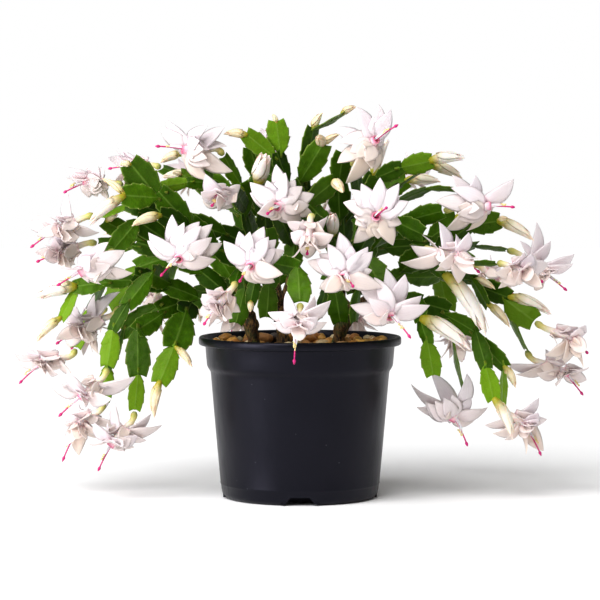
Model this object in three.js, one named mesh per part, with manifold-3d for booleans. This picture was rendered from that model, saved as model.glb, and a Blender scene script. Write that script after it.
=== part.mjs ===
// A Christmas cactus in full bloom in its black nursery pot, with a top dressing of gravel.
// Units are millimetres, +Z is up, and the origin is the middle of the pot's foot.
// The viewer stands on the -Y side, so across is +X, up is +Z and depth is +Y.

import * as THREE from 'three';
import { mergeVertices } from 'three/addons/utils/BufferGeometryUtils.js';
import Module from 'manifold-3d';

const wasm = await Module();
wasm.setup();

// ---------------------------------------------------------------------------
// Driving dimensions
// ---------------------------------------------------------------------------

const POT_HEIGHT = 135;
const RIM_RADIUS = 85;
const FOOT_RADIUS = 66;
const WALL = 1.6;
const FLOOR_THICKNESS = 2;
const POT_SIDES = 24;
const GAP = 0.3;

const LIP_HEIGHT = 7;
const BAND_BOTTOM = 106;
const BAND_RADIUS = 79.5;
const WAIST_RADIUS = 75.1;

const CHANNEL_COUNT = 4;
const CHANNEL_WIDTH_LOW = 28;
const CHANNEL_WIDTH_HIGH = 15.4;
const CHANNEL_HEIGHT = 6.8;
const CHANNEL_INNER = 38;
const DRAIN_RADIUS = 4;

const SOIL_TOP = 124;

const EYE_DISTANCE = 2200;
const EYE_HEIGHT = 285;

const WIDTH_TO_LENGTH = 0.6;
const NARROWEST = 12;
const WIDEST = 21;
const SEGMENT_THICKNESS = 2.4;
const NECK_WIDTH = 3.6;
const NECK_THICKNESS = 1.8;
const SUNK = 3;
const JOINT_INSET = 2.6;
const FORK_SUNK = 0.5;
const FORK_INSET = 5;
const FORK_OFFSET = 0.34;
const ROOT_GAP = 0.5;
const BLOOM_GAP = 0.7;

const PETALS = 6;
const PETAL_LENGTH = 28;
const BACK_PETAL_LENGTH = 21;
const PETAL_WIDTH_TO_LENGTH = 0.46;
const PETAL_NARROWEST = 7;
const PETAL_WIDEST = 13;
const BACK_PETAL_WIDEST = 10;
const PETAL_THICKNESS = 1.4;
const PETAL_BULGE = 0.12;
const PETAL_ROLL = 45;
const TUBE_RADIUS = 4.8;
const CLEARANCE = 3.6;

// The smallest edge that is kept where solids are joined.
const SMALLEST_EDGE = 0.3;

// ---------------------------------------------------------------------------
// Small vector and random helpers
// ---------------------------------------------------------------------------

const vec = (x, y, z) => new THREE.Vector3(x, y, z);
const UP = vec(0, 0, 1);
const TOWARDS_VIEWER = vec(0, -1, 0);
const degrees = THREE.MathUtils.degToRad;

/** A place given as seen from the front: across and up in the upright plane through the pot's axis. */
function seen(across, up, depth) {
  const scale = 1 + depth / EYE_DISTANCE;
  return vec(across * scale, depth, EYE_HEIGHT + (up - EYE_HEIGHT) * scale);
}

/** A seeded stream of numbers from 0 to 1. */
function numbers(seed) {
  let state = seed * 7919 + 12345;
  return () => {
    state = (state * 1664525 + 1013904223) % 4294967296;
    return state / 4294967296;
  };
}

/** The part of a direction that lies square to an axis, at unit length. */
function squareTo(direction, axis) {
  const flat = direction.clone().addScaledVector(axis, -direction.dot(axis));
  return flat.length() < 1e-6 ? vec(1, 0, 0).addScaledVector(axis, -axis.x).normalize() : flat.normalize();
}

// ---------------------------------------------------------------------------
// Solids
// ---------------------------------------------------------------------------

/** Turns a closed geometry into a solid that can be joined and cut. */
function solid(geometry) {
  const bare = geometry.clone();
  bare.deleteAttribute('normal');
  bare.deleteAttribute('uv');
  const merged = mergeVertices(bare, 1e-4);
  const corners = merged.index.array;
  const triVerts = [];
  for (let i = 0; i < corners.length; i += 3) {
    const [a, b, c] = corners.slice(i, i + 3);
    if (a !== b && b !== c && c !== a) {
      triVerts.push(a, b, c);
    }
  }
  return new wasm.Manifold(new wasm.Mesh({
    numProp: 3,
    vertProperties: new Float32Array(merged.attributes.position.array),
    triVerts: new Uint32Array(triVerts),
  }));
}

/** A geometry from a list of points and a list of triangles. */
function surface(points, triangles) {
  const geometry = new THREE.BufferGeometry();
  geometry.setFromPoints(points);
  geometry.setIndex(triangles);
  return geometry;
}

const joined = (solids) => wasm.Manifold.union(solids);

/** The named mesh of a solid, without the slivers that joining leaves. */
function mesh(name, body, material) {
  const { vertProperties, triVerts } = body.simplify(SMALLEST_EDGE).getMesh();
  const geometry = new THREE.BufferGeometry();
  geometry.setAttribute('position', new THREE.BufferAttribute(new Float32Array(vertProperties), 3));
  geometry.setIndex(Array.from(triVerts));
  geometry.computeVertexNormals();
  const piece = new THREE.Mesh(geometry, material);
  piece.name = name;
  return piece;
}

/** A limb with a round section that follows a list of places; a radius of 0 closes it in a point. */
function limb(places, radii, sides) {
  const points = [];
  const rings = [];
  let side = null;
  places.forEach((place, i) => {
    const before = places[Math.max(i - 1, 0)];
    const after = places[Math.min(i + 1, places.length - 1)];
    const along = after.clone().sub(before).normalize();
    side = squareTo(side ?? (Math.abs(along.z) < 0.9 ? UP : vec(1, 0, 0)), along);
    const other = along.clone().cross(side);
    const ring = [];
    const count = radii[i] === 0 ? 1 : sides;
    for (let k = 0; k < count; k += 1) {
      const angle = (2 * Math.PI * k) / sides;
      ring.push(points.length);
      points.push(place.clone()
        .addScaledVector(side, radii[i] * Math.cos(angle))
        .addScaledVector(other, radii[i] * Math.sin(angle)));
    }
    rings.push(ring);
  });
  const triangles = [];
  const first = rings[0];
  const last = rings.at(-1);
  for (let k = 1; k < first.length - 1; k += 1) {
    triangles.push(first[0], first[k + 1], first[k]);
  }
  for (let k = 1; k < last.length - 1; k += 1) {
    triangles.push(last[0], last[k], last[k + 1]);
  }
  for (let i = 0; i < rings.length - 1; i += 1) {
    const low = rings[i];
    const high = rings[i + 1];
    for (let k = 0; k < sides; k += 1) {
      const next = (k + 1) % sides;
      if (low.length > 1) {
        triangles.push(low[k], low[next], high[next % high.length]);
      }
      if (high.length > 1) {
        triangles.push(low[k % low.length], high[next], high[k]);
      }
    }
  }
  return solid(surface(points, triangles));
}

/** Places along a quadratic curve from one point to another. */
function bentPath(from, control, to, steps) {
  const curve = new THREE.QuadraticBezierCurve3(from, control, to);
  return steps.map((t) => curve.getPoint(t));
}

// ---------------------------------------------------------------------------
// Flat toothed segment of a leafy stem
// ---------------------------------------------------------------------------

// One edge of a segment: share of the length, share of the half width.
const TOOTHED_EDGE = [[0.3, 0.7], [0.54, 1], [0.61, 0.8], [1.01, 0.6]];
const NOTCH_AT_TIP = 0.97;
const MIDRIB = [[0.1, 0.8], [0.7, 1]];

/** The point of a segment at a share of its length, of its half width and of its half thickness. */
function onSegment({ foot, tip, face, width, sunk }, share, out, lift) {
  const along = tip.clone().sub(foot);
  const length = along.length();
  along.normalize();
  const side = face.clone().cross(along);
  return foot.clone()
    .addScaledVector(along, share * length - sunk * (1 - share))
    .addScaledVector(side, (out * width) / 2)
    .addScaledVector(face, (lift * SEGMENT_THICKNESS) / 2);
}

/** The segment turned over where that brings its sides nearer to those of the one before it. */
function turnedLike(before, segment) {
  if (before.side.dot(segment.side) >= 0) {
    return segment;
  }
  return { ...segment, face: segment.face.clone().negate(), side: segment.side.clone().negate() };
}

/** Segments one after another, thickest along the midrib, with a sharp toothed edge and narrow necks. */
function chainSolid(chain) {
  const points = [];
  const triangles = [];
  const put = (point) => points.push(point) - 1;
  const foot = put(onSegment(chain[0], 0, 0, 0));
  const [low, high] = MIDRIB;
  let start = {
    right: foot,
    left: foot,
    front: put(onSegment(chain[0], low[0], 0, low[1])),
    back: put(onSegment(chain[0], low[0], 0, -low[1])),
  };
  let segment = chain[0];
  for (let i = 0; i < chain.length; i += 1) {
    const next = i + 1 < chain.length ? turnedLike(segment, chain[i + 1]) : null;
    const neck = put(onSegment(segment, NOTCH_AT_TIP, 0, 0));
    let end = { right: neck, left: neck };
    if (next) {
      const along = segment.tip.clone().sub(segment.foot).normalize();
      along.add(next.tip.clone().sub(next.foot).normalize()).normalize();
      const side = squareTo(segment.side.clone().add(next.side), along);
      const face = along.clone().cross(side);
      const middle = points[neck].clone();
      points[neck] = middle.clone().addScaledVector(side, NECK_WIDTH / 2);
      end = {
        right: neck,
        left: put(middle.clone().addScaledVector(side, -NECK_WIDTH / 2)),
        front: put(middle.clone().addScaledVector(face, NECK_THICKNESS / 2)),
        back: put(middle.clone().addScaledVector(face, -NECK_THICKNESS / 2)),
      };
    }
    const rib = {
      front: put(onSegment(segment, high[0], 0, high[1])),
      back: put(onSegment(segment, high[0], 0, -high[1])),
    };
    for (const [half, way] of [['right', 1], ['left', -1]]) {
      const edge = TOOTHED_EDGE.map(([share, out]) => put(onSegment(segment, share, way * out, 0)));
      for (const [cheek, up] of [['front', 1], ['back', -1]]) {
        const [nearRib, farRib] = [start[cheek], rib[cheek]];
        const strip = [start[half], nearRib, edge[0], edge[0], nearRib, farRib];
        for (let k = 0; k < edge.length - 1; k += 1) {
          strip.push(edge[k], farRib, edge[k + 1]);
        }
        strip.push(edge.at(-1), farRib, end[half]);
        if (next) {
          strip.push(end[half], farRib, end[cheek]);
        }
        triangles.push(...(way * up > 0 ? strip : strip.toReversed()));
      }
    }
    start = end;
    segment = next;
  }
  return solid(surface(points, triangles));
}

/** The runs of segments between forks and sharp bends, from the first segment of a shoot on. */
function chainsFrom(first) {
  const chains = [];
  const starts = [first];
  while (starts.length > 0) {
    const chain = [starts.pop()];
    while (chain.at(-1).children.length === 1 && !chain.at(-1).children[0].sharp) {
      chain.push(chain.at(-1).children[0]);
    }
    chains.push(chain);
    starts.push(...chain.at(-1).children);
  }
  return chains;
}

// Rows of five places over a segment, and how far apart they are as a share of its width.
const SPREAD_ROWS = 9;
const SPREAD_AT_FOOT = 0.15;
const SPREAD_APART = 0.2;

/** Places spread over a segment, by which other shoots keep clear of it. */
function segmentSpread({ foot, tip, face, width }) {
  const along = tip.clone().sub(foot);
  const side = face.clone().cross(along.clone().normalize());
  const spread = [];
  for (let i = 1; i <= SPREAD_ROWS; i += 1) {
    const apart = width * (i === 1 ? SPREAD_AT_FOOT : SPREAD_APART);
    for (let k = -2; k <= 2; k += 1) {
      spread.push(foot.clone().addScaledVector(along, i / SPREAD_ROWS).addScaledVector(side, apart * k));
    }
  }
  return spread;
}

// ---------------------------------------------------------------------------
// Petals, buds and tubes
// ---------------------------------------------------------------------------

const WIDEST_AT = 0.56;

/** A petal: a point sunk in the tube, a wide section with a ridge at the back, and a pointed tip. */
function petalSolid({ root, middle, tip, side, width }) {
  const wide = bentPath(root, middle, tip, [WIDEST_AT])[0];
  const back = tip.clone().sub(root).normalize().cross(side).negate();
  const points = [
    root,
    wide.clone().addScaledVector(side, width / 2),
    wide.clone().addScaledVector(side, -width / 2),
    wide.clone().addScaledVector(back, PETAL_THICKNESS),
    tip,
  ];
  const triangles = [0, 2, 1, 0, 3, 2, 0, 1, 3, 4, 1, 2, 4, 2, 3, 4, 3, 1];
  return solid(surface(points, triangles));
}

// Rows of five places over a petal, and how far apart they are as a share of its width.
const PETAL_ROWS = 7;
const PETAL_SPREAD = 0.23;

/** Places spread over a petal, away from its root. */
function petalSpread({ root, middle, tip, side, width }) {
  const spread = [];
  for (let i = 2; i <= PETAL_ROWS; i += 1) {
    const place = bentPath(root, middle, tip, [i / PETAL_ROWS])[0];
    const apart = i === PETAL_ROWS ? 0 : width * PETAL_SPREAD;
    for (let k = -2; k <= 2; k += 1) {
      spread.push(place.clone().addScaledVector(side, apart * k));
    }
  }
  return spread;
}

const BUD_STEPS = [0, 0.42, 1];
const BUD_SWELL = [0.5, 1, 0];
const BUD_SIDES = 4;
const BUD_BOW = 0.16;
const BUD_SPREAD = [0.25, 0.4, 0.55, 0.7, 0.85, 1];

/** A bud that bows upwards a little between its foot and its tip. */
function budSolid({ foot, tip, radius }) {
  const places = bentPath(foot, budControl(foot, tip), tip, BUD_STEPS);
  return limb(places, BUD_SWELL.map((swell) => swell * radius), BUD_SIDES);
}

function budControl(foot, tip) {
  const along = tip.clone().sub(foot);
  const lift = squareTo(UP, along.clone().normalize());
  return foot.clone().addScaledVector(along, 0.5).addScaledVector(lift, along.length() * BUD_BOW);
}

const TUBE_STEPS = [0, 0.2, 1];
const TUBE_SWELL = [0.4, 0.62, 1];
const TUBE_SIDES = 4;
const STAMEN_STEPS = [0, 0.66, 1];
const STAMEN_RADII = [1.8, 1.5, 0];
const STAMEN_SIDES = 3;

/** The ovary and the bent tube of a bloom, up to its mouth. */
function tubeSolid({ foot, control, mouth }) {
  const places = bentPath(foot, control, mouth, TUBE_STEPS);
  return limb(places, TUBE_SWELL.map((swell) => swell * TUBE_RADIUS), TUBE_SIDES);
}

/** A place on the tube's middle line, beyond its bend, at a share of the way to the mouth. */
function insideTube({ foot, control, mouth }, share) {
  const [bend] = bentPath(foot, control, mouth, [TUBE_STEPS[1]]);
  return bend.lerp(mouth, (share - TUBE_STEPS[1]) / (1 - TUBE_STEPS[1]));
}

/** The bundle of stamens with the style that stands out of it. */
function stamenSolid({ throat, style }) {
  const places = STAMEN_STEPS.map((step) => throat.clone().lerp(style, step));
  return limb(places, STAMEN_RADII, STAMEN_SIDES);
}

// ---------------------------------------------------------------------------
// The plant, read from the front: across, up and depth of every joint
// ---------------------------------------------------------------------------

// A branch has a start (branch and joint of its shoot), its joints [across, up, depth, turn, width], its
// buds [joint, across, up, depth, radius], and its blooms { joint, mouth, style, petals }.

const SHOOTS = [
  { name: 'leafy_stem_01', trunk: 2, start: [-8, 186, 2], branches: [
    { joints: [[-4, 215, -6], [0, 243, -18], [3, 268, -32]] },
    { from: [0, 2], joints: [[11, 311, -34, 40, 20], [37, 322, -30, 80, 15]],
      buds: [[0, 19, 322, -36, 3], [1, 47, 327, -30, 2.6]] },
    { from: [0, 2], joints: [[20, 297, -50, 5, 21]],
      buds: [[0, 15, 301, -70, 4], [0, 33, 304, -52, 2.6]] },
    { from: [0, 1], joints: [[-8, 266, -38, 0, 18], [-20, 290, -42, 10, 19], [-20, 316, -42, 0, 19]],
      buds: [[2, -23, 321, -42, 1.6]] },
    { from: [3, 1], joints: [[-46, 305, -44, 5, 17]], buds: [[0, -64, 304, -46, 3.4]] },
    { from: [3, 0], joints: [[-34, 290, -20, 30, 15]] },
    { from: [0, 0], joints: [[-20, 240, -30, 30], [-36, 264, -56, 50, 14]],
      buds: [[1, -28, 288, -68, 7]] },
    { from: [0, 1], joints: [[24, 264, -24, 40]], buds: [[0, 18, 238, -44, 5]] },
  ] },
  { name: 'leafy_stem_02', trunk: 2, start: [-28, 184, 2], branches: [
    { joints: [[-38, 212, -8], [-46, 240, -24], [-50, 264, -42, 10, 20]] },
    { from: [0, 2], joints: [[-64, 286, -48, 40, 15]],
      blooms: [{ joint: 0, mouth: [-99, 291, -58], style: [-121, 294, -62],
        petals: [[-112, 317], [-117, 310], [-63, 310], [-61, 294], [-56, 273], [-83, 267], [-86, 306]] }] },
    { from: [0, 1], joints: [[-54, 256, -60, 30, 15]],
      blooms: [{ joint: 0, mouth: [-70, 250, -76], style: [-74, 244, -84],
        petals: [[-83, 256], [-81, 247], [-69, 241], [-57, 243], [-79, 271], [-50, 262]] }] },
    { from: [0, 1], joints: [[-62, 254, -10], [-80, 264, -12, 20], [-101, 271, -12, 10, 15]],
      buds: [[2, -107, 272, -14, 1.8]] },
    { from: [3, 1], joints: [[-95, 264, -18, 20, 12], [-117, 260, -20, 30, 12]] },
    { from: [3, 1], joints: [[-83, 291, -8, 50, 14], [-101, 288, -16, 40, 12]],
      buds: [[0, -84, 306, -8, 2.2], [1, -117, 280, -20, 3.4]] },
  ] },
  { name: 'leafy_stem_03', trunk: 0, start: [-56, 182, -10], branches: [
    { joints: [[-72, 208, -16], [-92, 232, -26, 20], [-119, 257, -36, 10, 22]] },
    { from: [0, 2], joints: [[-143, 281, -40, 0, 26]], buds: [[0, -151, 279, -42, 2.4]] },
    { from: [0, 2], joints: [[-149, 253, -46, 12, 22]],
      buds: [[0, -177, 227, -52, 4.6], [0, -166, 267, -44, 2.6]] },
    { from: [0, 2], joints: [[-148, 262, -14, 30, 18]],
      blooms: [{ joint: 0, mouth: [-182, 265, -14], style: [-198, 255, -16],
        petals: [[-169, 278], [-195, 276], [-197, 268], [-177, 251], [-163, 277], [-160, 249]] }] },
    { from: [0, 1], joints: [[-116, 238, -14, 30], [-146, 246, -14, 40], [-172, 237, -16, 60, 15]],
      blooms: [{ joint: 2, mouth: [-207, 223, -20], style: [-226, 209, -22],
        petals: [[-195, 257], [-230, 230], [-205, 236], [-168, 222], [-221, 219], [-224, 236]] }] },
    { from: [0, 1], joints: [[-118, 237, -52, 15, 19]], buds: [[0, -141, 227, -60, 4]] },
  ] },
  { name: 'leafy_stem_04', trunk: 0, start: [-60, 170, -2], branches: [
    { joints: [[-84, 190, -4], [-110, 210, -14], [-138, 233, -34, 10, 20]] },
    { from: [0, 2], joints: [[-156, 208, -50, 12, 19]],
      blooms: [{ joint: 0, mouth: [-185, 187, -54], style: [-204, 177, -58],
        petals: [[-146, 207], [-160, 214], [-154, 184], [-178, 181], [-203, 195], [-140, 188]] }] },
    { from: [0, 1], joints: [[-138, 214, -4], [-165, 232, -2, 15, 17]], buds: [[1, -152, 237, -8, 2.4]] },
    { from: [2, 0], joints: [[-170, 213, 4, 40, 16]],
      blooms: [{ joint: 0, mouth: [-207, 203, -4], style: [-221, 197, -6],
        petals: [[-222, 205], [-192, 193], [-214, 212], [-176, 200], [-180, 226]] }] },
  ] },
  { name: 'leafy_stem_05', trunk: 0, start: [-62, 158, 8], branches: [
    { joints: [[-88, 168, 10], [-114, 178, 4], [-140, 187, -4], [-165, 182, -8, 30, 16],
      [-190, 176, -8, 25, 17]],
      buds: [[4, -222, 167, -12, 6]] },
    { from: [0, 4], joints: [[-201, 148, -12, 35, 12]], buds: [[0, -221, 130, -14, 3.6]] },
    { from: [0, 1], joints: [[-125, 188, -34, 20], [-146, 160, -44, 10, 17], [-158, 139, -48, 20, 13]] },
    { from: [2, 2], joints: [[-162, 109, -48, 5, 17]],
      blooms: [{ joint: 0, mouth: [-185, 82, -52], style: [-203, 67, -56],
        petals: [[-211, 96], [-138, 101], [-181, 78], [-164, 84], [-195, 106], [-152, 92]] }] },
    { from: [0, 2], joints: [[-151, 160, 16, 60, 15]],
      blooms: [{ joint: 0, mouth: [-190, 139, 10], style: [-205, 128, 8],
        petals: [[-172, 170], [-151, 172], [-205, 132], [-195, 126], [-182, 134], [-160, 142]] }] },
    { from: [0, 3], joints: [[-180, 154, 42, 30, 14], [-189, 124, 38, 20, 15]],
      blooms: [{ joint: 1, mouth: [-222, 111, 30], style: [-237, 94, 30],
        petals: [[-241, 121], [-238, 112], [-213, 102], [-205, 124], [-192, 104], [-228, 127]] }] },
  ] },
  { name: 'leafy_stem_06', trunk: 2, start: [-44, 176, 26], branches: [
    { joints: [[-68, 176, 30], [-94, 168, 22], [-120, 156, 4], [-138, 139, -12, 20, 20]] },
    { from: [0, 3], joints: [[-136, 101, -20, 8, 22], [-139, 72, -20, 5, 14]],
      blooms: [{ joint: 1, mouth: [-160, 42, -22], style: [-170, 21, -24],
        petals: [[-155, 79], [-125, 70], [-116, 60], [-129, 47], [-178, 44], [-148, 38]] }] },
    { from: [0, 1], joints: [[-98, 152, -20], [-107, 123, -38, 0, 27], [-119, 94, -42, 5, 20]],
      buds: [[1, -91, 107, -40, 2.8], [2, -123, 65, -44, 4]] },
    { from: [0, 2], joints: [[-150, 138, 24, 30], [-162, 108, 30, 60], [-165, 80, 26, 10, 15]],
      blooms: [{ joint: 2, mouth: [-188, 58, 26], style: [-200, 29, 28],
        petals: [[-198, 42], [-186, 34], [-180, 48], [-186, 78], [-160, 84], [-150, 62]] }] },
  ] },
  { name: 'leafy_stem_07', trunk: 0, start: [-42, 172, -34], branches: [
    { joints: [[-46, 198, -54], [-40, 204, -84, 20]],
      blooms: [{ joint: 1, mouth: [-42, 193, -106], style: [-51, 180, -120],
        petals: [[-64, 215], [-51, 223], [-30, 227], [-20, 216], [-13, 207], [-21, 180], [-14, 187],
          [-36, 179]] }] },
    { from: [0, 0], joints: [[-54, 180, -78, 40, 15]],
      blooms: [{ joint: 0, mouth: [-72, 157, -92], style: [-81, 144, -98],
        petals: [[-79, 175], [-84, 153], [-78, 138], [-50, 155], [-61, 148]] }] },
    { from: [0, 0], joints: [[-70, 208, -60, 30], [-94, 210, -72, 30]],
      blooms: [{ joint: 1, mouth: [-102, 199, -94], style: [-117, 185, -108],
        petals: [[-127, 222], [-128, 215], [-107, 237], [-84, 231], [-73, 229], [-65, 213], [-78, 199],
          [-96, 195]] }] },
    { from: [0, 0], joints: [[-36, 184, -86, 30, 14], [-42, 161, -96, 10, 12]],
      buds: [[1, -42, 154, -98, 2.2]] },
    { from: [0, 0], joints: [[-22, 200, -66, 30], [0, 192, -90, 15, 17], [0, 163, -100, 0, 20]],
      blooms: [{ joint: 2, mouth: [-3, 140, -112], style: [-5, 111, -118],
        petals: [[-11, 173], [12, 169], [-27, 155], [-26, 147], [26, 165], [23, 147], [0, 131]] }] },
    { from: [4, 0], joints: [[-28, 226, -78, 10, 20]] },
    { from: [0, 0], joints: [[-46, 172, -46, 20, 18], [-54, 145, -40, 30, 17]] },
    { from: [4, 0], joints: [[-26, 176, -56, 20, 17], [-28, 150, -46, 0, 17]] },
  ] },
  { name: 'leafy_stem_08', trunk: 1, start: [36, 174, -36], branches: [
    { joints: [[42, 200, -56], [40, 200, -86, 30]],
      blooms: [{ joint: 1, mouth: [36, 184, -106], style: [45, 176, -120],
        petals: [[33, 222], [6, 198], [16, 204], [57, 210], [61, 206], [16, 175], [38, 173], [69, 176]] }] },
    { from: [0, 0], joints: [[58, 222, -72, 30]],
      blooms: [{ joint: 0, mouth: [64, 236, -96], style: [73, 243, -110],
        petals: [[67, 268], [43, 258], [51, 263], [83, 263], [36, 247], [91, 248], [45, 213], [78, 211]] }] },
    { from: [0, 0], joints: [[26, 222, -68, 30], [11, 234, -90, 25, 15]],
      blooms: [{ joint: 1, mouth: [7, 213, -100], style: [6, 203, -104],
        petals: [[-11, 231], [23, 236], [-7, 201], [6, 200], [18, 206], [23, 210]] }],
      buds: [[0, 28, 237, -96, 5]] },
    { from: [2, 0], joints: [[4, 248, -72, 40]],
      blooms: [{ joint: 0, mouth: [-20, 243, -92], style: [-28, 237, -106],
        petals: [[-20, 279], [-4, 266], [-42, 264], [-42, 255], [-36, 238], [12, 254], [11, 237],
          [-4, 230]] }] },
    { from: [0, 0], joints: [[56, 202, -72, 30], [70, 173, -82, 0, 24]],
      blooms: [{ joint: 1, mouth: [76, 150, -100], style: [93, 133, -112],
        petals: [[47, 184], [72, 192], [88, 187], [102, 169], [109, 161], [42, 161], [66, 148]] }] },
    { from: [3, 0], joints: [[30, 266, -68, 30]], buds: [[0, 36, 255, -92, 4]] },
    { from: [0, 0], joints: [[28, 174, -52, 20, 18], [34, 146, -42, 0, 18]] },
    { from: [0, 0], joints: [[50, 172, -48, 20, 17], [46, 146, -44, 0, 17]] },
  ] },
  { name: 'leafy_stem_09', trunk: 3, start: [52, 186, 10], branches: [
    { joints: [[60, 214, 4], [56, 244, -14], [64, 270, -24], [86, 277, -28, 0, 16], [111, 282, -30, 10, 18]],
      buds: [[4, 138, 284, -32, 4.8]] },
    { from: [0, 1], joints: [[45, 277, -54, 45, 15]],
      blooms: [{ joint: 0, mouth: [64, 300, -78], style: [82, 312, -86],
        petals: [[66, 329], [76, 325], [47, 327], [29, 309], [60, 275], [31, 280], [38, 263], [70, 286]] }] },
    { from: [0, 1], joints: [[84, 262, -14, 60], [112, 279, -14, 80, 14]], buds: [[1, 136, 267, -16, 4.4]] },
    { from: [0, 1], joints: [[82, 248, -30, 40], [107, 259, -38, 60], [131, 257, -40, 70, 14]] },
    { from: [0, 0], joints: [[84, 234, -36, 30], [120, 240, -46, 15, 18]],
      blooms: [{ joint: 1, mouth: [160, 244, -50], style: [180, 243, -54],
        petals: [[127, 270], [147, 270], [179, 267], [113, 248], [121, 224], [149, 231]] }] },
    { from: [4, 0], joints: [[104, 220, -60, 15, 19]] },
  ] },
  { name: 'leafy_stem_10', trunk: 3, start: [64, 172, 2], branches: [
    { joints: [[90, 190, -4], [118, 208, -10], [143, 229, -18, 30], [168, 232, -22, 15, 20]],
      buds: [[3, 175, 233, -24, 2.6], [3, 196, 215, -26, 4.4]] },
    { from: [0, 1], joints: [[148, 211, 6, 60], [173, 207, 10, 70, 14]],
      blooms: [{ joint: 1, mouth: [207, 185, 6], style: [224, 173, 4],
        petals: [[198, 231], [184, 215], [210, 215], [230, 204], [229, 196], [199, 178]] }] },
    { from: [0, 1], joints: [[142, 196, -30, 60], [165, 196, -44, 60, 13]],
      blooms: [{ joint: 1, mouth: [190, 188, -52], style: [204, 180, -56],
        petals: [[163, 188], [166, 175], [188, 206], [208, 196], [203, 176]] }] },
    { from: [0, 0], joints: [[118, 186, 12], [148, 182, 12, 50], [177, 167, 4, 30], [197, 147, -4, 0, 24]],
      buds: [[1, 164, 174, -4, 3], [2, 211, 153, 0, 4.6]],
      blooms: [{ joint: 3, mouth: [233, 131, -8], style: [242, 120, -8],
        petals: [[205, 119], [214, 114], [238, 108], [222, 112], [226, 143]] }] },
    { from: [3, 2], joints: [[190, 123, 22, 80, 14]],
      blooms: [{ joint: 0, mouth: [226, 103, 24], style: [238, 85, 24],
        petals: [[173, 112], [181, 103], [243, 109], [241, 98], [214, 95], [206, 124]] }] },
    { from: [0, 0], joints: [[102, 206, -38], [105, 208, -68, 40]],
      blooms: [{ joint: 1, mouth: [136, 201, -78], style: [151, 188, -82],
        petals: [[116, 231], [102, 220], [84, 197], [93, 211], [154, 201], [133, 179], [146, 187]] }] },
    { from: [5, 0], joints: [[122, 186, -58, 50, 14]], buds: [[0, 156, 135, -62, 6.4]] },
    { from: [3, 1], joints: [[158, 160, -12, 50, 13]], buds: [[0, 176, 142, -12, 3.4]] },
  ] },
  { name: 'leafy_stem_11', trunk: 1, start: [54, 160, -14], branches: [
    { joints: [[78, 166, -20], [104, 166, -24], [126, 156, -26, 20, 20], [150, 137, -28, 30, 18]] },
    { from: [0, 3], joints: [[173, 108, -26, 35, 17], [171, 78, -20, 65, 14]],
      buds: [[0, 181, 91, -28, 3.2]],
      blooms: [{ joint: 1, mouth: [192, 58, -14], style: [203, 34, -14],
        petals: [[201, 83], [198, 66], [162, 53], [155, 60], [190, 35], [205, 38]] }] },
    { from: [0, 3], joints: [[157, 107, -42, 10, 15], [163, 80, -44, 5, 16]],
      buds: [[1, 179, 47, -46, 4.6]] },
    { from: [0, 1], joints: [[101, 148, -50, 30, 15]], buds: [[0, 143, 123, -58, 6.4]] },
    { from: [3, 0], joints: [[108, 128, -46, 30, 14], [112, 101, -44, 0, 17]] },
    { from: [0, 2], joints: [[130, 130, -4, 60], [137, 92, -6, 75, 14]],
      blooms: [{ joint: 1, mouth: [127, 63, -10], style: [141, 42, -12],
        petals: [[110, 104], [139, 105], [93, 95], [98, 75], [158, 75], [146, 63]] }] },
  ] },
  { name: 'leafy_stem_12', trunk: 2, start: [-22, 184, 40], branches: [
    { joints: [[-34, 212, 58], [-52, 242, 84], [-74, 262, 112]],
      blooms: [{ joint: 2, toward: [-0.7, 0.7, 0.1] }] },
    { from: [0, 1], joints: [[-84, 262, 84], [-116, 276, 92]],
      blooms: [{ joint: 1, toward: [-0.9, 0.4, -0.1] }] },
    { from: [0, 1], joints: [[-28, 272, 98]], blooms: [{ joint: 0, toward: [-0.1, 0.6, 0.6] }] },
    { from: [0, 0], joints: [[-40, 202, 94], [-48, 174, 118]],
      blooms: [{ joint: 1, toward: [-0.2, 0.5, -0.8] }] },
    { from: [0, 0], joints: [[-68, 208, 76], [-104, 208, 88], [-138, 192, 90], [-162, 160, 84]],
      blooms: [{ joint: 3, toward: [-0.6, 0.3, -0.7] }] },
    { from: [4, 1], joints: [[-116, 178, 112]], blooms: [{ joint: 0, toward: [-0.3, 0.5, -0.8] }] },
    { from: [4, 1], joints: [[-136, 224, 104]], buds: [[0, -166, 220, 112, 4.6]] },
    { from: [3, 0], joints: [[-76, 176, 124]], buds: [[0, -84, 146, 132, 4.4]] },
    { from: [0, 0], joints: [[-30, 240, 42, 30], [-34, 268, 28], [-42, 294, 20, 10]] },
    { from: [8, 0], joints: [[-60, 258, 36], [-88, 270, 40]], buds: [[1, -116, 268, 48, 4.4]] },
    { from: [0, 0], joints: [[-66, 222, 34, 30], [-96, 232, 32]] },
    { from: [8, 0], joints: [[-4, 256, 24, 40]] },
    { from: [0, 0], joints: [[-14, 178, 52, 20]] },
  ] },
  { name: 'leafy_stem_13', trunk: 3, start: [34, 178, 46], branches: [
    { joints: [[40, 208, 62], [54, 238, 82], [76, 260, 106]],
      blooms: [{ joint: 2, toward: [0.6, 0.7, 0.2] }] },
    { from: [0, 1], joints: [[62, 272, 78]], buds: [[0, 74, 300, 92, 4.8]] },
    { from: [0, 0], joints: [[22, 234, 88]], blooms: [{ joint: 0, toward: [-0.1, 0.9, -0.1] }] },
    { from: [0, 0], joints: [[44, 200, 96], [46, 170, 118]],
      blooms: [{ joint: 1, toward: [0, 0.5, -0.8] }] },
    { from: [0, 0], joints: [[74, 210, 72], [110, 212, 80], [144, 196, 84]],
      blooms: [{ joint: 2, toward: [0.7, 0.3, -0.6] }] },
    { from: [4, 1], joints: [[118, 188, 106], [124, 156, 120]],
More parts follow.
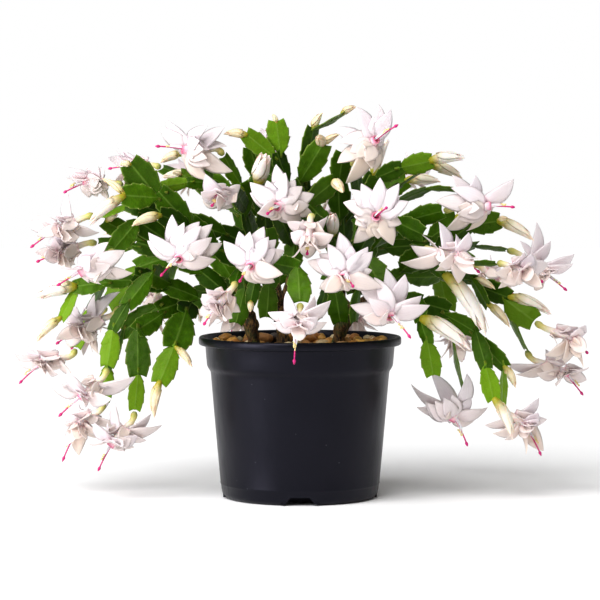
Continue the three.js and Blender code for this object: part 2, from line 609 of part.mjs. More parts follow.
      blooms: [{ joint: 1, toward: [0.3, 0.4, -0.8] }] },
    { from: [4, 1], joints: [[132, 234, 92]], buds: [[0, 158, 244, 100, 4.4]] },
    { from: [3, 0], joints: [[76, 178, 116]], buds: [[0, 84, 148, 126, 4.2]] },
    { from: [0, 0], joints: [[36, 236, 44, 30], [32, 264, 30], [36, 290, 22, 10]] },
    { from: [8, 0], joints: [[62, 254, 38], [90, 266, 42]], buds: [[1, 118, 264, 48, 4.4]] },
    { from: [0, 0], joints: [[72, 222, 40, 30], [102, 232, 38]] },
    { from: [0, 0], joints: [[22, 180, 56, 20], [16, 152, 60]] },
  ] },
];

// ---------------------------------------------------------------------------
// Growth: every new piece turns until it is clear of the other shoots
// ---------------------------------------------------------------------------

const grown = [];

/** How many of the places come too close to what other shoots have grown. */
function crowding(places, allowed) {
  const box = new THREE.Box3().setFromPoints(places).expandByScalar(CLEARANCE);
  let hits = 0;
  for (const other of grown) {
    if (allowed.includes(other) || !box.intersectsBox(other.box)) {
      continue;
    }
    for (const a of places) {
      for (const b of other.places) {
        if (a.distanceToSquared(b) < CLEARANCE * CLEARANCE) {
          hits += 1;
          break;
        }
      }
    }
  }
  return hits;
}

function keep(places) {
  const entry = { places, box: new THREE.Box3().setFromPoints(places) };
  grown.push(entry);
  return entry;
}

/** The first of the tries that is clear, or else the least crowded one. */
function clearest(tries, make, spread, allowed) {
  let best = null;
  let fewest = Infinity;
  for (const attempt of tries) {
    const piece = make(attempt);
    const hits = crowding(spread(piece), allowed);
    if (hits < fewest) {
      best = piece;
      fewest = hits;
    }
    if (hits === 0) {
      break;
    }
  }
  return { piece: best, hits: fewest };
}

// A segment's tries: how far its tip moves in depth, and how far the segment turns on its axis.
const SEGMENT_TRIES = [];
for (const shift of [0, -5, 5, -10, 10, -16, 16, -24, 24]) {
  for (const turn of [0, 30, -30, 60, -60, 90]) {
    SEGMENT_TRIES.push({ shift, turn });
  }
}

// A petal's tries: how far its tip moves in depth, and what is left of its length.
const PETAL_TRIES = [];
for (const share of [1, 0.85, 0.7, 0.55]) {
  for (const shift of [0, -6, 6, -12, 12, -18, 18]) {
    PETAL_TRIES.push({ shift, share });
  }
}

// How much of a joint's shift in depth the next segment takes over.
const CARRY = 0.6;

// How far a segment may turn on its axis, in degrees: about a given turn, and about the usual one.
const USUAL_TURN = 20;
const TURN_SPREAD = 40;
const GIVEN_TURN_SPREAD = 6;
const WIDTH_SPREAD = 0.08;

function growSegment(from, target, turn, width) {
  const { segment: parent, at } = from;
  const foot = from.place.clone();
  if (parent && from.forked) {
    const way = Math.sign(target.clone().sub(foot).normalize().dot(parent.side) + parent.lean);
    foot.addScaledVector(parent.side, way * parent.width * 0.5 * FORK_OFFSET);
    parent.lean -= way * 0.5;
  }
  const make = (attempt) => {
    const tip = target.clone().add(vec(0, attempt.shift, 0));
    const along = tip.clone().sub(foot).normalize();
    const face = squareTo(TOWARDS_VIEWER, along).applyAxisAngle(along, degrees(turn + attempt.turn));
    const side = face.clone().cross(along);
    return { foot, tip, face, side, width, lean: 0, children: [] };
  };
  const { piece } = clearest(SEGMENT_TRIES, make, segmentSpread, at);
  at.push(keep(segmentSpread(piece)));
  piece.sunk = -ROOT_GAP;
  if (parent) {
    parent.children.push(piece);
    piece.sharp = piece.tip.clone().sub(piece.foot).dot(parent.tip.clone().sub(parent.foot)) < 0;
    piece.sunk = from.forked ? FORK_SUNK : SUNK;
  }
  return piece;
}

/** Whether more than one segment grows from a joint of a branch. */
function isForked(shoot, branch, joint) {
  const index = shoot.branches.indexOf(branch);
  const children = shoot.branches.filter(({ from }) => from && from[0] === index && from[1] === joint);
  return children.length + (joint < branch.joints.length - 1 ? 1 : 0) > 1;
}

function growBranch(shoot, branch, grownBranches, random) {
  let joint = branch.from
    ? grownBranches[branch.from[0]].joints[branch.from[1]]
    : { place: seen(...shoot.start), drift: vec(0, 0, 0), segment: null, at: [] };
  const joints = [];
  branch.joints.forEach(([across, up, depth, turn, width]) => {
    const { place, drift } = joint;
    const planned = seen(across, up, depth);
    const away = planned.clone().addScaledVector(drift, CARRY);
    const length = away.distanceTo(place);
    const loose = turn === undefined ? TURN_SPREAD : GIVEN_TURN_SPREAD;
    const roll = (turn ?? USUAL_TURN) + (random() * 2 - 1) * loose;
    const spread = 1 + (random() * 2 - 1) * WIDTH_SPREAD;
    const broad = width ?? THREE.MathUtils.clamp(length * WIDTH_TO_LENGTH * spread, NARROWEST, WIDEST);
    const segment = growSegment(joint, away, roll, broad);
    const forked = isForked(shoot, branch, joints.length);
    const inset = segment.tip.clone().sub(segment.foot).setLength(-(forked ? FORK_INSET : JOINT_INSET));
    joint = {
      place: segment.tip.clone().add(inset),
      drift: segment.tip.clone().sub(planned),
      segment,
      at: [joint.at.at(-1)],
      forked,
    };
    joints.push(joint);
  });
  return { joints };
}

// Where petals are rooted on the tube: those behind halfway down, the others in the throat.
const BEHIND_ROOT = 0.6;
const THROAT_ROOT = 0.9;

// A petal whose tip lies this far behind the mouth is one of those behind.
const BEHIND_FROM = 9;

// How much of a petal's free length goes into depth, and what a petal at full reach still gets.
const DEPTH_SHARE = 0.85;
const DEPTH_AT_REACH = 4;

// Tips of the petals that the front view doesn't give: out from the tube, and along its axis.
const EXTRA_TIP = { out: 22, forward: 12 };
const EXTRA_TIP_BEHIND = { out: 19, forward: -8 };
const ROUND_TIP = { out: 22, forward: 14 };
const ROUND_TIP_BEHIND = { out: 17, forward: -7 };
const ROUND_IN_FRONT = 5;
const FACES_VIEWER = 0.6;

const petalRoot = (tube, behind) => insideTube(tube, behind ? BEHIND_ROOT : THROAT_ROOT);

/** Petals to the tips that the front view gives, and one more towards and away while there is room. */
function petalsSeen(bloom, tube, axis) {
  const { mouth } = tube;
  const plan = bloom.petals.map(([across, up], i) => {
    const flat = seen(across, up, mouth.y);
    const behind = flat.clone().sub(mouth).setY(0).dot(axis) < -BEHIND_FROM;
    const root = petalRoot(tube, behind);
    const reach = behind ? BACK_PETAL_LENGTH : PETAL_LENGTH;
    const apart = Math.hypot(flat.x - root.x, flat.z - root.z);
    const depth = Math.sqrt(Math.max(reach * reach - apart * apart, 0)) * (i % 2 ? 1 : -1);
    const tip = seen(across, up, root.y + depth * DEPTH_SHARE + (apart < reach ? 0 : DEPTH_AT_REACH));
    return { root, tip, behind };
  });
  const behind = axis.dot(TOWARDS_VIEWER) > FACES_VIEWER;
  const root = petalRoot(tube, behind);
  const direction = behind ? UP : squareTo(TOWARDS_VIEWER, axis);
  const { out, forward } = behind ? EXTRA_TIP_BEHIND : EXTRA_TIP;
  for (const way of [1, -1].slice(0, Math.max(PETALS - plan.length, 0))) {
    const tip = root.clone().addScaledVector(direction, way * out).addScaledVector(axis, forward);
    plan.push({ root, tip, behind });
  }
  return plan;
}

/** Petals round the mouth and one behind them, for a bloom that the front view hides. */
function petalsRound(tube, axis, random) {
  const across = squareTo(UP, axis);
  const other = axis.clone().cross(across);
  const spin = random() * 90;
  const plan = [];
  for (let k = 0; k < PETALS; k += 1) {
    const behind = k >= ROUND_IN_FRONT;
    const angle = degrees(spin + (behind ? 120 * k + 30 : (360 / ROUND_IN_FRONT) * k));
    const root = petalRoot(tube, behind);
    const { out, forward } = behind ? ROUND_TIP_BEHIND : ROUND_TIP;
    const tip = root.clone()
      .addScaledVector(across, out * Math.cos(angle))
      .addScaledVector(other, out * Math.sin(angle))
      .addScaledVector(axis, forward);
    plan.push({ root, tip, behind });
  }
  return plan;
}

/** A petal from its root to its tip, moved and shortened until it is clear. */
function growPetal({ root, tip, behind }, axis, allowed) {
  const make = ({ shift, share }) => {
    const end = root.clone().lerp(tip.clone().add(vec(0, shift, 0)), share);
    const along = end.clone().sub(root);
    const length = along.length();
    along.normalize();
    const flat = axis.clone().cross(along).normalize();
    const side = flat.clone().applyAxisAngle(along, degrees(PETAL_ROLL * flat.y));
    const forward = squareTo(axis, along);
    const middle = root.clone().lerp(end, 0.5).addScaledVector(forward, length * PETAL_BULGE);
    const widest = behind ? BACK_PETAL_WIDEST : PETAL_WIDEST;
    const width = THREE.MathUtils.clamp(length * PETAL_WIDTH_TO_LENGTH, PETAL_NARROWEST, widest);
    return { root, middle, tip: end, side, width };
  };
  return clearest(PETAL_TRIES, make, petalSpread, allowed);
}

// How straight a tube leaves its segment, as a share of its length.
const TUBE_STRAIGHT = 0.45;

// A bloom that the front view hides: how far its foot leads on, and the lengths of tube and style.
const HIDDEN_LEAD = 8;
const HIDDEN_LENGTH = 22;

const STAMEN_ROOT = 0.85;
const TUBE_SPREAD = [0.3, 0.45, 0.6, 0.75, 0.9, 1];
const STYLE_SPREAD = [0.3, 0.5, 0.7, 0.85, 1];

/** A bloom on the joint of a branch: its tube, its petals and its bundle of stamens. */
function growBloom(bloom, joint, random) {
  const { drift, segment } = joint;
  const out = segment.tip.clone().sub(segment.foot).normalize();
  const foot = segment.tip.clone().addScaledVector(out, BLOOM_GAP);
  let mouth;
  let style;
  if (bloom.mouth) {
    mouth = seen(...bloom.mouth).add(vec(0, drift.y, 0));
    style = seen(...bloom.style).add(vec(0, drift.y, 0));
  } else {
    const toward = vec(...bloom.toward).normalize();
    mouth = foot.clone().addScaledVector(out, HIDDEN_LEAD).addScaledVector(toward, HIDDEN_LENGTH);
    style = mouth.clone().addScaledVector(toward, HIDDEN_LENGTH);
  }
  const control = foot.clone().addScaledVector(out, foot.distanceTo(mouth) * TUBE_STRAIGHT);
  const axis = style.clone().sub(mouth).normalize();
  const tube = { foot, control, mouth };
  const stamens = { throat: insideTube(tube, STAMEN_ROOT), style };
  const places = bentPath(foot, control, mouth, TUBE_SPREAD);
  places.push(...STYLE_SPREAD.map((share) => mouth.clone().lerp(style, share)));
  const own = [keep(places)];
  const petals = [];
  const plans = bloom.petals ? petalsSeen(bloom, tube, axis) : petalsRound(tube, axis, random);
  for (const plan of plans) {
    const { piece, hits } = growPetal(plan, axis, own);
    if (hits === 0) {
      petals.push(piece);
      own.push(keep(petalSpread(piece)));
    }
  }
  return { tube, stamens, petals };
}

const shoots = [];
const blooms = [];
SHOOTS.forEach((shoot, number) => {
  const random = numbers(number + 1);
  const branches = [];
  const buds = [];
  shoot.branches.forEach((branch) => {
    const { joints } = growBranch(shoot, branch, branches, random);
    branches.push({ joints });
    for (const bloom of branch.blooms ?? []) {
      blooms.push(growBloom(bloom, joints[bloom.joint], random));
    }
    for (const [joint, across, up, depth, radius] of branch.buds ?? []) {
      const { drift, segment, at } = joints[joint];
      const out = segment.tip.clone().sub(segment.foot).normalize();
      const foot = segment.tip.clone().addScaledVector(out, -SUNK);
      const tip = seen(across, up, depth).add(vec(0, drift.y, 0));
      buds.push({ foot, tip, radius });
      at.push(keep(bentPath(foot, budControl(foot, tip), tip, BUD_SPREAD)));
    }
  });
  shoots.push({ ...shoot, branches, buds, first: branches[0].joints[0].segment });
});

// ---------------------------------------------------------------------------
// Woody stems
// ---------------------------------------------------------------------------

// Foot in the soil and crown of each old stem, in millimetres.
const TRUNKS = [
  { foot: [-38, -12], crown: [-43, -14, 156], radius: 5.4 },
  { foot: [31, -16], crown: [35, -19, 150], radius: 5 },
  { foot: [-14, 26], crown: [-18, 24, 162], radius: 5.4 },
  { foot: [32, 24], crown: [44, 26, 158], radius: 5 },
];
const TRUNK_DEPTH = 24;
const TRUNK_SIDES = 5;

// A trunk stands upright in its hole to this share of its height, and leans from there on.
const UPRIGHT_TO = 0.5;
const KNOB_STEPS = [0, 0.44, 0.6, 0.84, 1];
const KNOB_SWELL = [0.95, 1.2, 0.9, 1.2, 0.85];
const THICKEST = Math.max(...KNOB_SWELL);
const HOLE_GAP = 1.8;
const HOLE_SIDES = 6;

// A limb from a trunk's crown to the first segment of a shoot.
const LIMB_SUNK = 3;
const LIMB_STRAIGHT = 9;
const LIMB_RADII = [3.6, 3.4, 2.6];
const LIMB_SIDES = 3;

function trunkSolid(trunk, index) {
  const low = vec(trunk.foot[0], trunk.foot[1], SOIL_TOP - TRUNK_DEPTH);
  const high = vec(...trunk.crown);
  const places = KNOB_STEPS.map((t) => {
    const lean = Math.max((t - UPRIGHT_TO) / (1 - UPRIGHT_TO), 0);
    const place = low.clone().lerp(high, lean);
    return place.setZ(THREE.MathUtils.lerp(low.z, high.z, t));
  });
  const solids = [limb(places, KNOB_SWELL.map((swell) => swell * trunk.radius), TRUNK_SIDES)];
  for (const shoot of shoots.filter((one) => one.trunk === index)) {
    const { foot, tip } = shoot.first;
    const out = tip.clone().sub(foot).normalize();
    const root = high.clone().add(vec(0, 0, -LIMB_SUNK));
    const bend = foot.clone().addScaledVector(out, -LIMB_STRAIGHT);
    solids.push(limb([root, bend, foot], LIMB_RADII, LIMB_SIDES));
  }
  return joined(solids);
}

// ---------------------------------------------------------------------------
// Pot
// ---------------------------------------------------------------------------

// The rounding of the foot, the step under the band, and the lip, all as radius and height.
const LIP_BOTTOM = POT_HEIGHT - LIP_HEIGHT;
const FOOT_ROUNDING = [4.5, 3];
const STEP = [3, 5];
const LIP_ROUNDING = [2.5, 1.6];
const LIP_THICKNESS = 5.2;
const CORNER_INSIDE = [3, 8];

const OUTER_PROFILE = [
  [FOOT_RADIUS - FOOT_ROUNDING[0], 0],
  [FOOT_RADIUS, FOOT_ROUNDING[1]],
  [WAIST_RADIUS, BAND_BOTTOM],
  [WAIST_RADIUS + STEP[0], BAND_BOTTOM + STEP[1]],
  [BAND_RADIUS, LIP_BOTTOM],
  [RIM_RADIUS, LIP_BOTTOM],
  [RIM_RADIUS, POT_HEIGHT - LIP_ROUNDING[1]],
  [RIM_RADIUS - LIP_ROUNDING[0], POT_HEIGHT],
];
const INNER_PROFILE = [
  [RIM_RADIUS - LIP_THICKNESS, POT_HEIGHT - LIP_ROUNDING[1] / 2],
  [BAND_RADIUS - WALL, LIP_BOTTOM],
  [WAIST_RADIUS + STEP[0] - WALL, BAND_BOTTOM + STEP[1]],
  [WAIST_RADIUS - WALL, BAND_BOTTOM],
  [FOOT_RADIUS - WALL, CORNER_INSIDE[1]],
  [FOOT_RADIUS - WALL - CORNER_INSIDE[0], FLOOR_THICKNESS],
];

function turned(profile) {
  const points = profile.map(([radius, height]) => new THREE.Vector2(radius, height));
  const geometry = new THREE.LatheGeometry(points, POT_SIDES);
  geometry.rotateX(Math.PI / 2);
  return solid(geometry);
}

// How far a cut or a tool runs past what it cuts.
const PAST = 1;

/** A water channel that runs out under the floor to the foot, or the raised cover over it. */
function channelSolid(grow, inner, outer, angle) {
  const low = CHANNEL_WIDTH_LOW / 2 + grow;
  const high = CHANNEL_WIDTH_HIGH / 2 + grow;
  const top = CHANNEL_HEIGHT + grow;
  const corners = [[-low, -PAST], [low, -PAST], [high, top], [-high, top]];
  const shape = new THREE.Shape(corners.map(([across, up]) => new THREE.Vector2(across, up)));
  const geometry = new THREE.ExtrudeGeometry(shape, { depth: outer - inner, bevelEnabled: false });
  geometry.rotateX(Math.PI / 2);
  geometry.rotateZ(Math.PI);
  geometry.translate(0, inner, 0);
  geometry.rotateZ(angle);
  return solid(geometry);
}

/** An upright prism, as a tool for holes. */
function upright(radius, low, high, x, y, sides) {
  const geometry = new THREE.CylinderGeometry(radius, radius, high - low, sides);
  geometry.rotateX(Math.PI / 2);
  geometry.translate(x, y, (low + high) / 2);
  return solid(geometry);
}

/** Everything between two heights, as a tool. */
function slab(low, high) {
  const size = 3 * RIM_RADIUS;
  const geometry = new THREE.BoxGeometry(size, size, high - low);
  geometry.translate(0, 0, (low + high) / 2);
  return solid(geometry);
}

function channels(grow, inner, outer) {
  return Array.from({ length: CHANNEL_COUNT }, (_, k) => (
    channelSolid(grow, inner, outer, Math.PI + (k * 2 * Math.PI) / CHANNEL_COUNT)
  ));
}

// The covers of the channels end inside the wall, and a drain hole goes through each of them.
const COVER_IN_WALL = 2.5;
const COVER_FROM = 0.5;
const DRAIN_SIDES = 6;

function potSolid() {
  const shell = turned([[0, 0], ...OUTER_PROFILE, ...INNER_PROFILE, [0, FLOOR_THICKNESS]]);
  const covers = joined(channels(WALL, CHANNEL_INNER - WALL, FOOT_RADIUS - COVER_IN_WALL))
    .subtract(slab(-POT_HEIGHT, COVER_FROM));
  const cuts = channels(0, CHANNEL_INNER, RIM_RADIUS);
  const out = CHANNEL_INNER + 2 * DRAIN_RADIUS;
  for (let k = 0; k < CHANNEL_COUNT; k += 1) {
    const angle = (k * 2 * Math.PI) / CHANNEL_COUNT;
    const [x, y] = [out * Math.sin(angle), out * Math.cos(angle)];
    cuts.push(upright(DRAIN_RADIUS, FLOOR_THICKNESS, CHANNEL_HEIGHT + WALL + PAST, x, y, DRAIN_SIDES));
  }
  return shell.add(covers).subtract(joined(cuts));
}

// ---------------------------------------------------------------------------
// Soil and gravel
// ---------------------------------------------------------------------------

// The soil follows the inside of the pot, and widens a little above the band.
const SOIL_GAP = 0.4;
const SOIL_FLARE = 0.8;

function soilSolid() {
  const inner = INNER_PROFILE.slice(2).map(([radius, height]) => [radius - SOIL_GAP, height]).reverse();
  inner[0][1] = FLOOR_THICKNESS + GAP;
  const top = [inner.at(-1)[0] + SOIL_FLARE, SOIL_TOP];
  const body = turned([[0, FLOOR_THICKNESS + GAP], ...inner, top, [0, SOIL_TOP]]);
  const holes = TRUNKS.map(({ foot, radius }) => {
    const low = SOIL_TOP - TRUNK_DEPTH - GAP;
    return upright(radius * THICKEST + HOLE_GAP, low, SOIL_TOP + PAST, foot[0], foot[1], HOLE_SIDES);
  });
  const clear = WALL + 2 * GAP;
  return body.subtract(joined([...holes, ...channels(clear, CHANNEL_INNER - clear, RIM_RADIUS)]));
}

const PEBBLE_RINGS = [49.5, 61.5, 74];
const PEBBLES_ROUND = 17;
const PEBBLE_RISE = [7, 12];
const SEAM_RISE = 2.2;
const SEAM_SPREAD = 0.4;
const CROWN_REACH = [0.434, 0.682];
const CROWN_SLOPE = 2.5;
const GRAVEL_SEED = 77;

/** The top dressing: pebbles side by side round the pot, each a seam round it and a raised crown. */
function gravelSolid() {
  const random = numbers(GRAVEL_SEED);
  const points = [];
  const triangles = [];
  const put = (radius, turn, height) => {
    const angle = (2 * Math.PI * turn) / PEBBLES_ROUND;
    return points.push(vec(radius * Math.cos(angle), radius * Math.sin(angle), SOIL_TOP + height)) - 1;
  };
  const seams = PEBBLE_RINGS.map((radius, ring) => {
    const rim = ring === 0 || ring === PEBBLE_RINGS.length - 1;
    return Array.from({ length: PEBBLES_ROUND }, (_, k) => (
      put(radius, k + (rim ? 0 : 0.5) + SEAM_SPREAD * (random() - 0.5), rim ? GAP : SEAM_RISE)
    ));
  });
  for (let ring = 0; ring < PEBBLE_RINGS.length - 1; ring += 1) {
    for (let k = 0; k < PEBBLES_ROUND; k += 1) {
      const next = (k + 1) % PEBBLES_ROUND;
      const around = [seams[ring][k], seams[ring + 1][k], seams[ring + 1][next], seams[ring][next]];
      const middle = vec(0, 0, 0);
      around.forEach((corner) => middle.addScaledVector(points[corner], 1 / around.length));
      const rise = SOIL_TOP + THREE.MathUtils.lerp(...PEBBLE_RISE, random());
      const crown = [0, 1, 2].map((corner) => {
        const reach = THREE.MathUtils.lerp(...CROWN_REACH, random());
        const place = middle.clone().lerp(points[around[corner]], reach);
        place.z = rise - CROWN_SLOPE * random();
        return points.push(place) - 1;
      });
      triangles.push(crown[0], crown[1], crown[2]);
      triangles.push(around[0], around[1], crown[0], crown[0], around[1], crown[1]);
      triangles.push(around[1], around[2], crown[1], crown[1], around[2], crown[2]);
      triangles.push(around[2], around[3], crown[2], crown[2], around[3], crown[0]);
      triangles.push(around[3], around[0], crown[0]);
    }
  }
  const [inner, outer] = [seams[0], seams.at(-1)];
  for (let k = 0; k < PEBBLES_ROUND; k += 1) {
    const next = (k + 1) % PEBBLES_ROUND;
    triangles.push(inner[k], outer[next], outer[k], inner[k], inner[next], outer[next]);
  }
  return solid(surface(points, triangles));
}

// ---------------------------------------------------------------------------
// Materials and the finished group
// ---------------------------------------------------------------------------

const material = (color, roughness) => new THREE.MeshStandardMaterial({ color, roughness, metalness: 0 });

const group = new THREE.Group();
group.add(mesh('pot', potSolid(), material(0x1d1f24, 0.45)));
group.add(mesh('soil', soilSolid(), material(0x2a1c12, 0.95)));
group.add(mesh('gravel', gravelSolid(), material(0xb87a34, 0.6)));
TRUNKS.forEach((trunk, index) => {
  group.add(mesh(`woody_stem_${index + 1}`, trunkSolid(trunk, index), material(0x5a4024, 0.9)));
});
for (const { name, branches, buds } of shoots) {
  const chains = chainsFrom(branches[0].joints[0].segment).map(chainSolid);
  group.add(mesh(name, joined([...chains, ...buds.map(budSolid)]), material(0x2f5a14, 0.45)));
}
blooms.forEach(({ tube, stamens, petals }, index) => {
  const solids = [tubeSolid(tube), stamenSolid(stamens), ...petals.map(petalSolid)];
  const name = `bloom_${String(index + 1).padStart(2, '0')}`;
  group.add(mesh(name, joined(solids), material(0xefe6ea, 0.5)));
});

export default group;
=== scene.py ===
# %% [markdown]
# # A Christmas cactus in a nursery pot
# A Christmas cactus has no leaves. What looks like a leaf is a flat piece of green stem, and the plant is
# a chain of them that forks and arches over. The white blooms hang from the last piece of each chain.
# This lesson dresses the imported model: first the camera and the light, then the pot and what fills it,
# then the plant, grown joint by joint by the same rule as the solids.

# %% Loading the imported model
import math

import bpy
import numpy as np
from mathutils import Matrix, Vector
from mathutils import noise as perlin


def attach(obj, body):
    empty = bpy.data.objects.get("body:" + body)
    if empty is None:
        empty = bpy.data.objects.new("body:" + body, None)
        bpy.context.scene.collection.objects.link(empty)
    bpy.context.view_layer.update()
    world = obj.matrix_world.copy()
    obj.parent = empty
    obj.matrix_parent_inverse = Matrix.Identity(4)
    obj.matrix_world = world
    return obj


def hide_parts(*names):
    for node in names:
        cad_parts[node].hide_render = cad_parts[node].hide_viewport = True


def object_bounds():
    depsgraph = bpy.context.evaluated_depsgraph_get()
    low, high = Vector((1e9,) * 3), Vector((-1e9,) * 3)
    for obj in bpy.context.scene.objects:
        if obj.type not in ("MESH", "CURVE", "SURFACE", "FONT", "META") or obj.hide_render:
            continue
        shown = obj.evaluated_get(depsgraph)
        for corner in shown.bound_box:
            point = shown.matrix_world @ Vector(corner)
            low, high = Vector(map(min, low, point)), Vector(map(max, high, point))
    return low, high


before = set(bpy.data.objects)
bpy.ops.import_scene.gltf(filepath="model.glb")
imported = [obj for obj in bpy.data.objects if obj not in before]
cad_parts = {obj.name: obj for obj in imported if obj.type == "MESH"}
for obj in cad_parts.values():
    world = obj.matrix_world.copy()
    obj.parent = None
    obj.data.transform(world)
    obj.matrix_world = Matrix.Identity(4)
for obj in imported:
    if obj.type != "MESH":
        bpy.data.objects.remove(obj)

cad_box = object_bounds()
print("nodes in the model:", len(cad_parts))
print("box of the solids:", [tuple(round(c, 3) for c in corner) for corner in cad_box])

# %% [markdown]
# ## The camera
# The photograph was taken from the front, a little above the rim of the pot, with a long lens, so near
# and far blooms show at nearly the same size. A lens of 158 mm from 2.2 m away gives that flat look, and
# a tilt of three degrees shows the gravel over the rim.

# %% Camera
MM = 0.001
EYE_DISTANCE = 2200
EYE_HEIGHT = 284.8
EYE_TILT = 3.11
LENS = 157.6
SENSOR_WIDTH = 36

lens = bpy.data.cameras.new("camera")
lens.lens = LENS
lens.sensor_width = SENSOR_WIDTH
lens.clip_end = 60
camera = bpy.data.objects.new("camera", lens)
camera.location = (0, -EYE_DISTANCE * MM, EYE_HEIGHT * MM)
camera.rotation_euler = (math.radians(90 - EYE_TILT), 0, 0)
bpy.context.scene.collection.objects.link(camera)
bpy.context.scene.camera = camera
print("width seen at the pot:", round(SENSOR_WIDTH / LENS * EYE_DISTANCE), "mm")

# %% [markdown]
# ## Colours and nodes
# A colour picker shows sRGB, but a shader's sockets take linear light. One function turns a hex colour
# into linear light, and one small function adds a node, sets it, and fills its inputs with plain values
# or with links from other nodes. Most finishes here are colours laid over each other, so one helper lays
# them, and another ends a finish with its relief, its shader and its output.

# %% Colour and node helpers
def linear(hex_colour):
    """A colour such as "#2E5A0B" as the linear colour that a shader takes."""
    channels = [int(hex_colour[i:i + 2], 16) / 255 for i in (1, 3, 5)]
    return tuple(c / 12.92 if c <= 0.04045 else ((c + 0.055) / 1.055) ** 2.4 for c in channels) + (1.0,)


def add_node(tree, kind, inputs=None, **settings):
    """Adds a node, sets it, and fills its inputs with values or with links from other nodes."""
    made = tree.nodes.new(kind)
    for name, value in settings.items():
        setattr(made, name, value)
    for name, value in (inputs or {}).items():
        if isinstance(value, bpy.types.NodeSocket):
            tree.links.new(value, made.inputs[name])
        else:
            made.inputs[name].default_value = value
    return made


def new_finish(name):
    """An empty material, and the tree to build in."""
    finish = bpy.data.materials.new(name)
    finish.use_nodes = True
    finish.node_tree.nodes.clear()
    return finish, finish.node_tree


def layered(tree, colour, *layers):
    """Lays colours over a first one. A layer is a mask, its colour and, where the mask is read over a part
    of its range, the two ends of that part and the shares of colour that they give."""
    def paint(given):
        return linear(given) if isinstance(given, str) else given

    for mask, over, *reading in layers:
        if reading:
            ends = dict(zip(("From Min", "From Max", "To Min", "To Max"), reading))
            mask = add_node(tree, "ShaderNodeMapRange", {"Value": mask, **ends}).outputs[0]
        inputs = {0: mask, 6: paint(colour), 7: paint(over)}
        colour = add_node(tree, "ShaderNodeMix", inputs, data_type="RGBA").outputs[2]
    return colour


def close_finish(tree, colour, inputs, relief=None):
    """Ends a finish with its shader. A relief is a height, its strength and its depth in metres."""
    inputs = {"Base Color": colour, **inputs}
    if relief:
        bump = add_node(tree, "ShaderNodeBump", dict(zip(("Height", "Strength", "Distance"), relief)))
        inputs["Normal"] = bump.outputs[0]
    shader = add_node(tree, "ShaderNodeBsdfPrincipled", inputs)
    add_node(tree, "ShaderNodeOutputMaterial", {"Surface": shader.outputs[0]})


def per_mm(size):
    """The scale of a noise that repeats every so many millimetres; scale 1 repeats about once a metre."""
    return 1000 / size

# %% [markdown]
# ## Light, sky and floor
# The plant stands in a bright studio in front of white. The camera sees the sky as pure white, but only
# a part of that light reaches the plant, so the inside of the foliage stays dark. The main light is a
# sun with a very wide disc, high on the left in front: it is as soft as a large window, and it lights
# the whole floor alike, so that floor and sky run together. A tall panel on the left puts the pale
# blue sheen on the pot. The picture is developed a little harder than usual, as the photograph was.

# %% Sky, lights and floor
SKY = 0.34
DEVELOPED = 0.9

world = bpy.data.worlds.new("studio")
bpy.context.scene.world = world
world.use_nodes = True
world.node_tree.nodes.clear()
ray = add_node(world.node_tree, "ShaderNodeLightPath")
seen_or_felt = add_node(world.node_tree, "ShaderNodeMapRange", {
    "Value": ray.outputs["Is Camera Ray"], "To Min": SKY, "To Max": 1.0})
sky = add_node(world.node_tree, "ShaderNodeBackground", {
    "Color": linear("#FFFFFF"), "Strength": seen_or_felt.outputs["Result"]})
add_node(world.node_tree, "ShaderNodeOutputWorld", {"Surface": sky.outputs[0]})
bpy.context.scene.view_settings.view_transform = "Standard"
bpy.context.scene.view_settings.gamma = DEVELOPED


def add_light(name, kind, power, shining, **settings):
    """A light that shines in a given direction."""
    light = bpy.data.lights.new(name, kind)
    light.energy = power
    for setting, value in settings.items():
        setattr(light, setting, value)
    lamp = bpy.data.objects.new(name, light)
    lamp.rotation_euler = shining.to_track_quat("-Z", "Y").to_euler()
    bpy.context.scene.collection.objects.link(lamp)
    return lamp


SUN_STRENGTH = 3.0
SUN_WIDTH = 50
SUN_SHINES = Vector((0.45, 0.75, -1.0))
PANEL_POWER = 22
PANEL_PLACE = Vector((-1.33, -0.9, 0.25))
PANEL_WIDTH, PANEL_TALL = 0.7, 1.2
add_light("window_light", "SUN", SUN_STRENGTH, SUN_SHINES, angle=math.radians(SUN_WIDTH))
panel = add_light("panel_light", "AREA", PANEL_POWER, -PANEL_PLACE, shape="RECTANGLE", size=PANEL_WIDTH,
                  size_y=PANEL_TALL, color=(0.95, 0.95, 1.0))
panel.location = PANEL_PLACE
panel.visible_camera = False

FLOOR_REACH = 6
FLOOR_BELOW = 0.0002
floor_mesh = bpy.data.meshes.new("floor")
corners = [(x * FLOOR_REACH, y * FLOOR_REACH, 0) for x, y in ((-1, -1), (1, -1), (1, 1), (-1, 1))]
floor_mesh.from_pydata(corners, [], [(0, 1, 2, 3)])
floor = bpy.data.objects.new("floor", floor_mesh)
floor.location.z = -FLOOR_BELOW
bpy.context.scene.collection.objects.link(floor)
paper_sweep, tree = new_finish("matt_paper_sweep")
grain = add_node(tree, "ShaderNodeTexNoise", {"Scale": per_mm(400), "Detail": 2.0})
paper = layered(tree, "#FBFBFB", (grain.outputs["Fac"], "#FFFFFF"))
matt = add_node(tree, "ShaderNodeBsdfDiffuse", {"Color": paper})
add_node(tree, "ShaderNodeOutputMaterial", {"Surface": matt.outputs[0]})
floor_mesh.materials.append(paper_sweep)

# %% [markdown]
# ## Skins
# Almost everything in a plant is a skin over a row of rings: a stem, a tube, a bud, and also a petal,
# whose rings are very flat. So one function lays a skin over rings and closes both ends, and it notes on
# every point where it lies along and across the piece. The finishes read these notes, for a midrib, a
# green foot or a pink throat.

# %% Skin helpers
NOTES = ("along", "across", "tint", "age")


def new_skin():
    """An empty skin: its points, its faces, the finish of each face, and the notes on its points."""
    return {"points": [], "faces": [], "finishes": [], "count": 0, **{note: [] for note in NOTES}}


